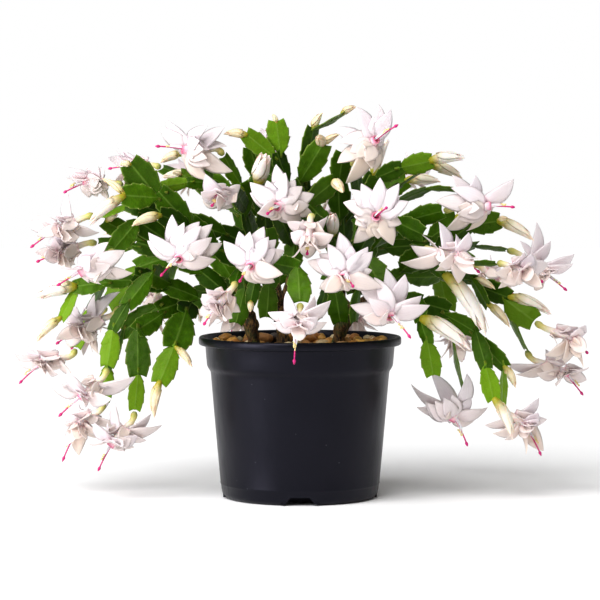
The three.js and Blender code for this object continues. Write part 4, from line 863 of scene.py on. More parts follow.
# %% Reading the places
def read_shoots(readings):
    """The readings as shoots, each with its branches and their joints, buds and blooms."""
    read = []
    for line in filter(None, readings.splitlines()):
        head, places = line.split(":")
        what, *which = head.split()
        which = [int(word) for word in which if word.isdigit()]
        places = [[float(number) for number in place.split()] for place in places.split(",")]
        if what == "shoot":
            branches = []
            name = f"leafy_stem_{which[0]:02d}"
            read.append({"name": name, "trunk": which[1], "start": places[0], "branches": branches})
        elif what == "branch":
            branches.append({"from": which, "joints": places, "buds": [], "blooms": []})
        elif what == "bud":
            branches[-1]["buds"].append((which[0], places[0]))
        else:
            bloom = {"joint": which[0], "toward": places[0]}
            if len(places) > 1:
                bloom = {"joint": which[0], "mouth": places[0], "style": places[1], "petals": places[2:]}
            branches[-1]["blooms"].append(bloom)
    return read


SHOOTS = read_shoots(READINGS)
print("shoots read:", len(SHOOTS), " branches:", sum(len(shoot["branches"]) for shoot in SHOOTS))

# %% [markdown]
# ## Growth
# The reading gives the front view, but not how the pieces pass one another in depth. So the plant is
# grown: each segment starts at its joint and goes to its target, and if it comes within 3.6 mm of another
# shoot, it shifts in depth and turns about its length until it is clear. A petal shifts too, and gets
# shorter where that isn't enough. The order of the draws is that of the solids, so every piece lands where
# its solid is.

# %% Growing the plant: vectors and clearance
CLEARANCE = 3.6
SIGHT_HEIGHT = 285
TOWARDS_VIEWER = np.array([0.0, -1.0, 0.0])
UP = np.array([0.0, 0.0, 1.0])


def vec(x, y, z):
    """A place or a direction that sums can be done with."""
    return np.array([x, y, z], dtype=float)


def unit(direction):
    """A direction at length 1."""
    return direction / np.linalg.norm(direction)


def seen(across, up, depth):
    """The place of something that the front view shows at (across, up), at a depth behind the middle."""
    scale = 1 + depth / EYE_DISTANCE
    return vec(across * scale, depth, SIGHT_HEIGHT + (up - SIGHT_HEIGHT) * scale)


def square_to(direction, axis):
    """The part of a direction that is square to an axis."""
    flat = direction - axis * (direction @ axis)
    size = np.linalg.norm(flat)
    return unit(vec(1, 0, 0) - axis * axis[0]) if size < 1e-6 else flat / size


def turned_about(direction, axis, angle):
    """A direction turned about an axis by an angle in degrees."""
    cosine, sine = math.cos(math.radians(angle)), math.sin(math.radians(angle))
    return direction * cosine + np.cross(axis, direction) * sine + axis * (axis @ direction) * (1 - cosine)


def bent_path(start, control, end, steps):
    """Places along a curve from start to end that is pulled towards control."""
    t = np.asarray(steps, dtype=float)[:, None]
    return start * (1 - t) ** 2 + control * (2 * t * (1 - t)) + end * t ** 2


grown = []
boxes = np.zeros((1000, 2, 3))


def keep(places):
    """Remembers the places of a new piece, and gives its number."""
    boxes[len(grown)] = places.min(axis=0), places.max(axis=0)
    grown.append(places)
    return len(grown) - 1


def crowding(places, allowed):
    """How many of the places come too close to what other shoots have grown."""
    count = len(grown)
    low = places.min(axis=0) - CLEARANCE
    high = places.max(axis=0) + CLEARANCE
    near = np.all((boxes[:count, 0] <= high) & (boxes[:count, 1] >= low), axis=1)
    hits = 0
    for number in np.flatnonzero(near):
        if number not in allowed:
            gaps = ((places[:, None] - grown[number][None]) ** 2).sum(axis=2)
            hits += int((gaps < CLEARANCE ** 2).any(axis=1).sum())
    return hits


def clearest(tries, make, spread, allowed):
    """The first of the tries that is clear, or else the least crowded one."""
    best, fewest = None, math.inf
    for attempt in tries:
        piece = make(*attempt)
        hits = crowding(spread(piece), allowed)
        if hits < fewest:
            best, fewest = piece, hits
        if hits == 0:
            break
    return best, fewest

# %% Growing the segments
WIDTH_TO_LENGTH, WIDTH_SPREAD = 0.6, 0.08
NARROWEST, WIDEST = 12, 21
SUNK = 3
ROOT_GAP = 0.5
FORK_SUNK = 0.5
JOINT_INSET, FORK_INSET = 2.6, 5
FORK_OFFSET = 0.34
CARRY = 0.6
USUAL_TURN, TURN_SPREAD, READ_SPREAD = 20, 40, 6
SEGMENT_TRIES = [(shift, turn) for shift in (0, -5, 5, -10, 10, -16, 16, -24, 24)
                 for turn in (0, 30, -30, 60, -60, 90)]


def segment_spread(segment):
    """Places spread over a segment, by which other shoots keep clear of it."""
    run = segment["tip"] - segment["foot"]
    side = np.cross(segment["face"], unit(run))
    spread = []
    for i in range(1, 10):
        reach = 0.15 if i == 1 else 0.2
        for k in range(-2, 3):
            spread.append(segment["foot"] + run * (i / 9) + side * (segment["width"] * reach * k))
    return np.array(spread)


def grow_segment(joint, target, turn, width):
    """A segment from a joint to a target, turned and shifted until it is clear of the other shoots."""
    parent = joint["segment"]
    foot = joint["place"].copy()
    if parent and joint["forked"]:
        way = np.sign(unit(target - foot) @ parent["side"] + parent["lean"])
        foot = foot + parent["side"] * (way * parent["width"] * 0.5 * FORK_OFFSET)
        parent["lean"] -= way * 0.5

    def make(shift, more_turn):
        tip = target + vec(0, shift, 0)
        along = unit(tip - foot)
        face = turned_about(square_to(TOWARDS_VIEWER, along), along, turn + more_turn)
        return {"foot": foot, "tip": tip, "face": face, "side": np.cross(face, along), "width": width,
                "lean": 0.0, "sunk": -ROOT_GAP, "order": 1, "last": True}

    segment, _ = clearest(SEGMENT_TRIES, make, segment_spread, joint["at"])
    joint["at"].append(keep(segment_spread(segment)))
    if parent:
        parent["last"] = False
        segment["order"] = parent["order"] + 1
        segment["sunk"] = FORK_SUNK if joint["forked"] else SUNK
    return segment


def is_forked(shoot, branch, joint):
    """Whether more than one segment grows from a joint of a branch."""
    number = shoot["branches"].index(branch)
    children = sum(other["from"] == [number, joint] for other in shoot["branches"])
    return children + (joint < len(branch["joints"]) - 1) > 1


def grow_branch(shoot, branch, branches, draw):
    """The joints of a branch, each with the segment that leads to it."""
    if branch["from"]:
        earlier, left_at = branch["from"]
        joint = branches[earlier][left_at]
    else:
        joint = {"place": seen(*shoot["start"]), "drift": vec(0, 0, 0), "segment": None,
                 "at": [], "forked": False}
    joints = []
    for across, up, depth, *more in branch["joints"]:
        turn = more[0] if more else USUAL_TURN
        planned = seen(across, up, depth)
        target = planned + joint["drift"] * CARRY
        length = np.linalg.norm(target - joint["place"])
        roll = turn + (next(draw) * 2 - 1) * (READ_SPREAD if more else TURN_SPREAD)
        spread = 1 + (next(draw) * 2 - 1) * WIDTH_SPREAD
        width = min(max(length * WIDTH_TO_LENGTH * spread, NARROWEST), WIDEST)
        if len(more) > 1:
            width = more[1]
        segment = grow_segment(joint, target, roll, width)
        forked = is_forked(shoot, branch, len(joints))
        back = unit(segment["tip"] - segment["foot"]) * (FORK_INSET if forked else JOINT_INSET)
        joint = {"place": segment["tip"] - back, "drift": segment["tip"] - planned, "segment": segment,
                 "at": [joint["at"][-1]], "forked": forked}
        joints.append(joint)
    return joints

# %% Growing the blooms and buds
BLOOM_GAP = 0.7
PETALS = 6
PETAL_LENGTH, BACK_PETAL_LENGTH = 28, 21
PETAL_NARROWEST, PETAL_WIDEST, BACK_PETAL_WIDEST = 7, 13, 10
BACK_PETAL_ROOT, PETAL_ROOT = 0.6, 0.9
PETAL_BOW = 0.12
TUBE_STRAIGHT, TUBE_REACH, STYLE_REACH = 8, 22, 22
TUBE_PULL = 0.45
# A petal whose tip is seen this far behind the mouth is one of the back ones.
BEHIND_FROM = -9
# How far out and how far forward the tip lies, of a front petal and of a back one.
EXTRA_FRONT, EXTRA_BACK = (22, 12), (19, -8)
HIDDEN_FRONT, HIDDEN_BACK = (22, 14), (17, -7)
PETAL_WIDTH_TO_LENGTH = 0.46
PETAL_ROLL = 45
TUBE_BEND = 0.2
BUD_BOW = 0.16
PETAL_TRIES = [(share, shift) for share in (1, 0.85, 0.7, 0.55) for shift in (0, -6, 6, -12, 12, -18, 18)]


def petal_spread(petal):
    """Places spread over a petal, away from its root."""
    middles = bent_path(petal["root"], petal["middle"], petal["tip"], [i / 7 for i in range(2, 8)])
    spread = []
    for i, place in enumerate(middles):
        apart = 0 if i == 5 else petal["width"] * 0.23
        for k in range(-2, 3):
            spread.append(place + petal["side"] * (apart * k))
    return np.array(spread)


def inside_tube(tube, share):
    """A place on the tube's middle line, beyond its bend, at a share of the way to the mouth."""
    bend = bent_path(tube["foot"], tube["control"], tube["mouth"], [TUBE_BEND])[0]
    return bend + (tube["mouth"] - bend) * ((share - TUBE_BEND) / (1 - TUBE_BEND))


def bud_control(foot, tip):
    """What a bud bows towards: a little above the middle between its foot and its tip."""
    run = tip - foot
    return foot + run * 0.5 + square_to(UP, unit(run)) * (np.linalg.norm(run) * BUD_BOW)


def petals_seen(bloom, tube, axis):
    """Petals to the tips that the photograph shows, with one more towards and one away if there is room."""
    mouth = tube["mouth"]
    middle, throat = inside_tube(tube, BACK_PETAL_ROOT), inside_tube(tube, PETAL_ROOT)
    plan = []
    for i, (across, up) in enumerate(bloom["petals"]):
        flat = seen(across, up, mouth[1])
        behind = (flat - mouth)[[0, 2]] @ axis[[0, 2]] < BEHIND_FROM
        root = middle if behind else throat
        reach = BACK_PETAL_LENGTH if behind else PETAL_LENGTH
        apart = math.hypot(flat[0] - root[0], flat[2] - root[2])
        depth = math.sqrt(max(reach * reach - apart * apart, 0)) * (1 if i % 2 else -1)
        plan.append((root, seen(across, up, root[1] + depth * 0.85 + (0 if apart < reach else 4)), behind))
    behind = axis @ TOWARDS_VIEWER > 0.6
    root = middle if behind else throat
    for way in (1, -1)[:max(PETALS - len(plan), 0)]:
        out, forward = EXTRA_BACK if behind else EXTRA_FRONT
        across = UP if behind else square_to(TOWARDS_VIEWER, axis)
        plan.append((root, root + across * out * way + axis * forward, behind))
    return plan


def petals_round(tube, axis, draw):
    """Five petals round the mouth and one behind them, for a bloom that the photograph hides."""
    across = square_to(UP, axis)
    other = np.cross(axis, across)
    spin = next(draw) * 90
    plan = []
    for k in range(PETALS):
        behind = k >= 5
        angle = math.radians(spin + (120 * k + 30 if behind else 72 * k))
        root = inside_tube(tube, BACK_PETAL_ROOT if behind else PETAL_ROOT)
        out, forward = HIDDEN_BACK if behind else HIDDEN_FRONT
        spoke = across * math.cos(angle) + other * math.sin(angle)
        plan.append((root, root + spoke * out + axis * forward, behind))
    return plan


def petal_side(axis, along):
    """The way a petal is broad: square to its bloom's axis, rolled a little so that it faces the viewer."""
    flat = unit(np.cross(axis, along))
    return turned_about(flat, along, PETAL_ROLL * flat[1])


def grow_petal(root, tip, behind, axis, allowed):
    """A petal from its root to its tip, moved and shortened until it is clear."""
    def make(share, shift):
        end = root + (tip + vec(0, shift, 0) - root) * share
        length = np.linalg.norm(end - root)
        along = unit(end - root)
        middle = root + along * (length * 0.5) + square_to(axis, along) * (length * PETAL_BOW)
        widest = BACK_PETAL_WIDEST if behind else PETAL_WIDEST
        width = min(max(length * PETAL_WIDTH_TO_LENGTH, PETAL_NARROWEST), widest)
        return {"root": root, "middle": middle, "tip": end, "side": petal_side(axis, along), "width": width}

    return clearest(PETAL_TRIES, make, petal_spread, allowed)


def grow_bloom(bloom, joint, draw):
    """A bloom on a joint: its tube, the axis it faces along, its style and its petals."""
    segment = joint["segment"]
    out = unit(segment["tip"] - segment["foot"])
    foot = segment["tip"] + out * BLOOM_GAP
    if "mouth" in bloom:
        drift = vec(0, joint["drift"][1], 0)
        mouth, style = seen(*bloom["mouth"]) + drift, seen(*bloom["style"]) + drift
    else:
        toward = unit(vec(*bloom["toward"]))
        mouth = foot + out * TUBE_STRAIGHT + toward * TUBE_REACH
        style = mouth + toward * STYLE_REACH
    tube = {"foot": foot, "control": foot + out * (np.linalg.norm(foot - mouth) * TUBE_PULL), "mouth": mouth}
    axis = unit(style - mouth)
    places = [*bent_path(foot, tube["control"], mouth, [0.3, 0.45, 0.6, 0.75, 0.9, 1])]
    places += [mouth + (style - mouth) * t for t in (0.3, 0.5, 0.7, 0.85, 1)]
    own = [keep(np.array(places))]
    plan = petals_seen(bloom, tube, axis) if "petals" in bloom else petals_round(tube, axis, draw)
    petals = []
    for root, tip, behind in plan:
        petal, hits = grow_petal(root, tip, behind, axis, own)
        if hits == 0:
            petals.append(petal)
            own.append(keep(petal_spread(petal)))
    return {"tube": tube, "axis": axis, "style": style, "petals": petals}


def grow_bud(place, joint):
    """A bud on a joint, bowed up a little, with its foot sunk in the segment."""
    across, up, depth, radius = place
    segment = joint["segment"]
    foot = segment["tip"] - unit(segment["tip"] - segment["foot"]) * SUNK
    tip = seen(across, up, depth) + vec(0, joint["drift"][1], 0)
    path = bent_path(foot, bud_control(foot, tip), tip, [0.25, 0.4, 0.55, 0.7, 0.85, 1])
    joint["at"].append(keep(path))
    return {"foot": foot, "tip": tip, "radius": radius}

# %% Growing all the shoots
shoots, blooms = [], []
for number, shoot in enumerate(SHOOTS):
    draw = numbers(number + 1)
    branches, buds = [], []
    for branch in shoot["branches"]:
        joints = grow_branch(shoot, branch, branches, draw)
        branches.append(joints)
        blooms += [grow_bloom(bloom, joints[bloom["joint"]], draw) for bloom in branch["blooms"]]
        buds += [grow_bud(place, joints[joint]) for joint, place in branch["buds"]]
    segments = [joint["segment"] for joints in branches for joint in joints]
    shoots.append({"name": shoot["name"], "trunk": shoot["trunk"], "segments": segments, "buds": buds})
print("segments:", sum(len(s["segments"]) for s in shoots), " buds:", sum(len(s["buds"]) for s in shoots),
      " blooms:", len(blooms), " petals:", sum(len(b["petals"]) for b in blooms))

# %% [markdown]
# ## Woody stems
# The oldest segments of a Christmas cactus turn to cork: the flat green stem rounds out into a brown,
# knobby trunk, with a waist at every old joint. Each trunk is a skin of round rings along its path, and
# noise roughens the bark. Limbs of the same bark carry the green shoots.

# %% Bark
corky_bark, tree = new_finish("corky_bark")
place = add_node(tree, "ShaderNodeTexCoord").outputs["Object"]
stretch = add_node(tree, "ShaderNodeMapping", {"Vector": place, "Scale": (1.0, 1.0, 0.35)})
furrow = add_node(tree, "ShaderNodeTexNoise", {
    "Vector": stretch.outputs[0], "Scale": per_mm(1.8), "Detail": 6.0, "Roughness": 0.7}).outputs["Fac"]
patch = add_node(tree, "ShaderNodeTexNoise", {"Vector": place, "Scale": per_mm(9), "Detail": 3.0})
# The same noise gives the relief and the colour: the low furrows are darker, partly the cork's own colour and
# partly painted shade.
cork = layered(tree, "#150D06", (furrow, "#8E6A36", 0.44, 0.64, 0.0, 1.0),
               (patch.outputs["Fac"], "#5B6A30", 0.5, 0.7, 0.0, 0.6))
close_finish(tree, cork, {"Roughness": 0.85, "IOR": 1.45}, relief=(furrow, 0.9, 0.0015))

# %% Trunks and limbs
TRUNK_DEPTH = 24
TRUNK_ROWS = 34
KNOBS = ([0, 0.2, 0.3, 0.42, 0.5, 0.58, 0.68, 0.8, 0.88, 0.96, 1],
         [0.85, 0.95, 1.1, 1.15, 0.95, 0.86, 0.98, 1.16, 1.14, 1.0, 0.8])
LIMB_SUNK = 3
LIMB_STRAIGHT = 9
LIMB_RADII = ([0, 0.3, 0.55, 0.8, 1], [3.7, 3.2, 3.6, 2.9, 2.4])


def bark_rings(path, radii, around, seed):
    """Round rings with a rough, uneven skin."""
    rings = round_rings(path, radii, around)
    middles = np.asarray(path, dtype=float)[:, None, :]
    shift = Vector((seed * 17.3, 0, 0))
    rough = [[1 + 0.24 * perlin.noise(Vector(p / 4.5) + shift) + 0.1 * perlin.noise(Vector(p / 1.6) + shift)
              for p in ring] for ring in rings]
    return middles + (rings - middles) * np.array(rough)[:, :, None]


for index, trunk in enumerate(TRUNKS):
    wood_skin = new_skin()
    low = vec(*trunk["foot"], SOIL_TOP - TRUNK_DEPTH)
    high = vec(*trunk["crown"])
    steps = np.linspace(0, 1, TRUNK_ROWS)
    # The lower half stands upright, and the upper half leans to the crown.
    leans = np.maximum((steps - 0.5) / 0.5, 0)
    path = low + (high - low) * np.stack([leans, leans, steps], axis=1)
    radii = np.interp(steps, *KNOBS) * trunk["radius"]
    rings = bark_rings(path, radii, 18, index)
    add_rings(wood_skin, rings, 0, steps, start=path[0], end=path[-1])
    for shoot in shoots:
        if shoot["trunk"] != index:
            continue
        first = shoot["segments"][0]
        out = unit(first["tip"] - first["foot"])
        bend = first["foot"] - out * LIMB_STRAIGHT
        root = high + vec(0, 0, -LIMB_SUNK)
        corner = bent_path(root, root + (bend - root) * 0.5, bend, np.linspace(0, 1, 9))
        path = np.concatenate([corner[:-1], np.linspace(bend, first["foot"] + out * 0.4, 6)])
        path[1:-1] = (path[:-2] + 2 * path[1:-1] + path[2:]) / 4
        steps = np.linspace(0, 1, len(path))
        rings = bark_rings(path, np.interp(steps, *LIMB_RADII), 12, index + 5)
        add_rings(wood_skin, rings, 0, steps, start=path[0], end=path[-1])
    piece_from(wood_skin, f"trunk_{index + 1}", f"woody_stem_{index + 1}", [corky_bark])

# %% [markdown]
# ## Stem segments
# A segment is 2.3 mm thick at its midrib and thins to a sharp edge. Its edge is what tells this cactus
# from its relatives: three forward teeth on each side, and two horns at the cut-off tip. So the
# edge is a row of measured shares, and each ring of the skin runs across the segment, once over the
# front and once back over the other side. The rings are bent towards the tip at the edges, which draws
# the horns. A seeded bow and cup keep the segments from being flat cards.

# %% Shape of a segment
# Each row: share of the length at the edge, share of the half width, share of the length at the midrib.
EDGE_ROWS = np.array([
    (-0.06, 0.13, -0.06), (0, 0.14, 0), (0.06, 0.19, 0.05), (0.14, 0.37, 0.12), (0.22, 0.6, 0.2),
    (0.285, 0.8, 0.27), (0.3, 0.72, 0.31), (0.38, 0.84, 0.38), (0.47, 0.95, 0.46), (0.54, 1.04, 0.53),
    (0.56, 0.93, 0.57), (0.64, 0.97, 0.64), (0.72, 1.0, 0.71), (0.79, 1.0, 0.77), (0.81, 0.88, 0.81),
    (0.88, 0.84, 0.86), (0.95, 0.76, 0.91), (1.03, 0.66, 0.945), (1.0, 0.45, 0.955), (0.975, 0.2, 0.965),
])
ROW_THICKNESS = np.array([1.5, 1.4, 1.2, 1.05] + [1] * 10 + [0.95, 0.9, 0.85, 0.75, 0.65, 0.45])
COLUMNS = [1, 0.9, 0.68, 0.36, 0.11, 0, -0.11, -0.36, -0.68, -0.9, -1]
ACROSS, UPPER = there_and_back(COLUMNS)
LEFT_TEETH_BACK = 0.05
BLADE, RIB = 0.72, 0.42
BOW, CUP = 1.3, 1.2
TOOTH_ROWS = (6, 10, 14)


def segment_points(segment, draw):
    """The rings of a segment, the places of its areoles, and its tip."""
    run = segment["tip"] - segment["foot"]
    length = np.linalg.norm(run)
    along = run / length
    half = segment["width"] / 2
    bow = (next(draw) * 2 - 1) * BOW
    cup = (next(draw) * 2 - 1) * CUP
    waver = next(draw) * 6.3
    slim = min(1.0, 1.9 / (half * 0.14))
    edge_t, out, rib_t = EDGE_ROWS.T
    left_t = np.where((edge_t > 0.1) & (edge_t < 0.9), edge_t - LEFT_TEETH_BACK, edge_t)
    out = np.where(out < 0.15, out * slim, out)
    own_t = np.where(ACROSS[None, :] >= 0, edge_t[:, None], left_t[:, None])
    t = rib_t[:, None] + (own_t - rib_t[:, None]) * ACROSS[None, :] ** 2
    s = np.broadcast_to(ACROSS[None, :], t.shape)
    body = BLADE * np.sqrt(np.maximum(1 - np.abs(s) ** 2.5, 0)) + RIB * np.exp(-(s / 0.12) ** 2)
    thick = body * UPPER[None, :] * ROW_THICKNESS[:, None]
    sag = bow * 4 * t * (1 - t) + cup * (s ** 2) * np.minimum(out[:, None], 1)
    sag = sag + 0.35 * np.sin(t * 13 + waver) * s * out[:, None]
    reach = t * length - segment["sunk"] * (1 - np.clip(t, 0, 1))
    rings = (segment["foot"] + reach[..., None] * along
             + (s * out[:, None] * half)[..., None] * segment["side"]
             + (thick + sag)[..., None] * segment["face"])
    tip = segment["foot"] + along * length * 0.968 + segment["face"] * (bow * 4 * 0.968 * 0.032)
    areoles = [rings[row, column] for row in TOOTH_ROWS for column in (0, len(COLUMNS) - 1)]
    return rings, areoles, tip


def add_segment(skin, segment, draw):
    """Skins a segment, and sets a tuft of felt in the notch behind each tooth and on its tip."""
    rings, areoles, tip = segment_points(segment, draw)
    age = 1 / segment["order"] + (0.0 if segment["last"] else 0.12)
    add_rings(skin, rings, 0, EDGE_ROWS[:, 2], across=ACROSS, tint=next(draw), age=age, end=tip)
    along = unit(segment["tip"] - segment["foot"])
    for place in areoles + [tip]:
        size = 0.3 + 0.2 * next(draw)
        tuft = [place - along * size, place + along * size]
        path = [tuft[0] * (1 - k) + tuft[1] * k for k in (0.2, 0.5, 0.8)]
        add_rings(skin, round_rings(path, [size * 0.7, size, size * 0.7], 5), 1, [0, 0.5, 1], start=tuft[0],
                  end=tuft[1])

# %% [markdown]
# The green is a waxy skin over wet tissue. Old segments are a deep green, young ones a light yellow
# green, and the thin edges are painted paler, as painted light for the light that comes through them. A broad
# cloud of 8 mm breaks up the colour, and swells of 5 mm with pores of 0.9 mm make the relief. The wax is satin,
# and its gloss takes on some of the green under it.

# %% Segment finish
waxy_stem_skin, tree = new_finish("waxy_stem_skin")
place = add_node(tree, "ShaderNodeTexCoord").outputs["Object"]
along, across, tint, age = (
    add_node(tree, "ShaderNodeAttribute", attribute_name=note).outputs["Fac"] for note in NOTES)
cloud = add_node(tree, "ShaderNodeTexNoise", {
    "Vector": place, "Scale": per_mm(8), "Detail": 4.0, "Roughness": 0.6}).outputs["Fac"]
pore = add_node(tree, "ShaderNodeTexNoise", {
    "Vector": place, "Scale": per_mm(0.9), "Detail": 2.0, "Roughness": 0.6})
from_rib = add_node(tree, "ShaderNodeMath", {0: across}, operation="ABSOLUTE").outputs[0]
deep = layered(tree, "#2A4D02", (tint, "#4F7A04"))
# The pale layer where the segment is far from the rib is painted light, for the light coming through the thin
# edges.
green = layered(
    tree, "#173301", (cloud, deep),
    (age, "#86AE22", 0.16, 0.26, 0.55, 0.0),
    (from_rib, "#8FA651", 0.86, 1.0, 0.0, 0.55),
    (from_rib, "#7C9A45", 0.02, 0.1, 0.35, 0.0),
    (along, "#6B6A26", 0.0, 0.06, 0.5, 0.0))
swell = add_node(tree, "ShaderNodeTexNoise", {"Vector": place, "Scale": per_mm(5), "Detail": 2.0})
pillow = add_node(tree, "ShaderNodeMath", {
    0: swell.outputs["Fac"], 1: 4.0, 2: pore.outputs["Fac"]}, operation="MULTIPLY_ADD")
wax = add_node(tree, "ShaderNodeMapRange", {
    "Value": cloud, "From Min": 0.35, "From Max": 0.65, "To Min": 0.32, "To Max": 0.46})
close_finish(tree, green, {
    "Roughness": wax.outputs[0], "IOR": 1.45, "Specular IOR Level": 0.3,
    "Specular Tint": (0.8, 1.0, 0.4, 1.0), "Subsurface Weight": 0.1, "Subsurface Scale": 0.0015},
    relief=(pillow.outputs[0], 0.5, 0.0004))

areole_felt, tree = new_finish("areole_felt")
place = add_node(tree, "ShaderNodeTexCoord").outputs["Object"]
fluff = add_node(tree, "ShaderNodeTexNoise", {"Vector": place, "Scale": per_mm(0.3), "Detail": 3.0})
close_finish(tree, layered(tree, "#7D7A34", (fluff.outputs["Fac"], "#C9BE7E")), {"Roughness": 0.95})

# %% [markdown]
# ## Buds
# A bud starts as a green bead and fills out to a teardrop the colour of a peach, olive at its foot. Its
# petals are rolled over each other, which shows as shallow ridges that wind round it. The rings of a bud
# are pushed in and out along those winding ridges, and five thin petals are rolled round it; on a large
# bud, which is about to open, their tips stand off.

# %% Shape of a bud
BUD_SWELL = ([0, 0.05, 0.14, 0.26, 0.42, 0.6, 0.76, 0.89, 0.98],
             [0.45, 0.66, 0.86, 0.98, 1.0, 0.84, 0.58, 0.32, 0.1])
BUD_IN_PETALS = 0.9
BUD_ROUND = 20
RIDGES = 5
WRAPPED_PETALS = 5
OPENING_FROM = 4.2
PETAL_ACROSS, PETAL_UPPER = there_and_back([1, 0.72, 0.38, 0, -0.38, -0.72, -1])


def held_inside(rings, base):
    """Draws a petal back towards its root until it stays inside the box of the solids."""
    low, high = (np.array(corner) / MM for corner in cad_box)
    reach = rings - base
    room = np.where(reach > 0, high - base, base - low)
    return base + reach / max(np.max(np.abs(reach) / room), 1)


def add_wrapped_petals(skin, path, steps, radii, radius, start, draw):
    """Petals rolled round a bud: each lies on the bud's own rings and runs out to a point of its own."""
    sides, others = frames_along(path)
    opening = max(radius - OPENING_FROM, 0)
    for k in range(WRAPPED_PETALS):
        first, last = 0.14 + 0.12 * next(draw), 0.97 - 0.16 * next(draw)
        share = np.linspace(0, 1, 10)
        rows = first + (last - first) * share
        middle = start + k * 2 * math.pi / WRAPPED_PETALS + 0.9 * rows
        half = np.interp(share, [0, 0.2, 0.5, 0.75, 0.9, 1], [0.35, 0.85, 0.95, 0.7, 0.35, 0.06])
        s = PETAL_ACROSS[None, :]
        turn = middle[:, None] + half[:, None] * s
        away = np.interp(rows, steps, radii) * 1.05 + 0.25 + opening * share ** 3
        shell = PETAL_UPPER[None, :] * np.sqrt(np.maximum(1 - s ** 4, 0))
        away = away[:, None] + 0.16 * (s + 1) + 0.16 * shell
        place, side, other = (np.stack([np.interp(rows, steps, line[:, i]) for i in range(3)], axis=1)
                              for line in (path, sides, others))
        rings = (place[:, None] + (away * np.cos(turn))[..., None] * side[:, None]
                 + (away * np.sin(turn))[..., None] * other[:, None])
        rings = held_inside(rings, place[0])
        add_rings(skin, rings, 2, rows, across=PETAL_ACROSS, tint=next(draw), age=radius)


def add_bud(skin, bud, draw):
    """A bowed teardrop with ridges that wind towards its tip."""
    steps = np.linspace(0, 0.98, 17)
    path = bent_path(bud["foot"], bud_control(bud["foot"], bud["tip"]), bud["tip"], steps)
    radii = np.interp(steps, *BUD_SWELL) * bud["radius"] * BUD_IN_PETALS
    rings = round_rings(path, radii, BUD_ROUND)
    turn = np.arange(BUD_ROUND) * 2 * math.pi / BUD_ROUND
    start = next(draw) * 6.3
    wave = (RIDGES * turn[None, :] + 4.2 * steps[:, None] + start) / (2 * math.pi) % 1
    ridge = 1 + 0.16 * np.sin(math.pi * steps)[:, None] * (wave ** 2 - 0.4)
    rings = path[:, None] + (rings - path[:, None]) * ridge[..., None]
    add_rings(skin, rings, 2, steps, tint=next(draw), age=bud["radius"], start=path[0], end=bud["tip"])
    add_wrapped_petals(skin, path, steps, radii, bud["radius"], start, draw)

# %% Bud finish
rolled_bud, tree = new_finish("rolled_bud_petals")
place = add_node(tree, "ShaderNodeTexCoord").outputs["Object"]
along, across, size = (
    add_node(tree, "ShaderNodeAttribute", attribute_name=note).outputs["Fac"]
    for note in ("along", "across", "age"))
dots = add_node(tree, "ShaderNodeTexVoronoi", {"Vector": place, "Scale": per_mm(1.4)})
mottle = add_node(tree, "ShaderNodeTexNoise", {
    "Vector": place, "Scale": per_mm(3), "Detail": 3.0}).outputs["Fac"]
peach = layered(tree, "#EAC79A", (mottle, "#F6E6CC"), (size, "#F4E6E2", 4.0, 4.8, 0.0, 0.8))
# The darker brown line on the outer edge of each rolled petal is painted shade where it lies over the next petal.
bud_colour = layered(
    tree, "#A09A24", (along, peach, 0.1, 0.42, 0.0, 1.0),
    (dots.outputs["Distance"], "#C58A5E", 0.12, 0.22, 0.2, 0.0),
    (across, "#C49A5A", 0.75, 1.0, 0.0, 0.5))
close_finish(tree, bud_colour, {
    "Roughness": 0.42, "IOR": 1.42, "Subsurface Weight": 0.25, "Subsurface Scale": 0.002},
    relief=(mottle, 0.2, 0.0004))

# %% Leafy stems
for number, shoot in enumerate(shoots):
    stem_skin = new_skin()
    draw = numbers(400 + number)
    for segment in shoot["segments"]:
        add_segment(stem_skin, segment, draw)
    for bud in shoot["buds"]:
        add_bud(stem_skin, bud, draw)
    piece_from(stem_skin, shoot["name"].replace("leafy", "jointed"), shoot["name"],
               [waxy_stem_skin, areole_felt, rolled_bud])

# %% [markdown]
# ## Blooms
# A bloom is a tube that bends out of the tip of a segment, with two tiers of petals. The inner petals
# open round the mouth and bend back at their tips; a few shorter ones stand halfway down the tube. The
# mouth is a pink ring with a bundle of white filaments at its upper edge, and one magenta style stands
# out past them. Each petal is a thin closed shell, cupped round the tube at its root, and it follows a
# curve that bulges forward before the tip turns back.

# %% Shape of a petal
PETAL_ROWS = np.array([0, 0.07, 0.15, 0.26, 0.38, 0.5, 0.62, 0.73, 0.83, 0.91, 0.97])
PETAL_OUTLINE = ([0, 0.1, 0.22, 0.38, 0.52, 0.66, 0.8, 0.9, 0.96, 1],
                 [0.7, 0.9, 1, 1, 0.9, 0.7, 0.44, 0.22, 0.1, 0])
ROOT_CIRCLE = 3.6
ROOT_HALF, THINNING = 0.34, 0.2


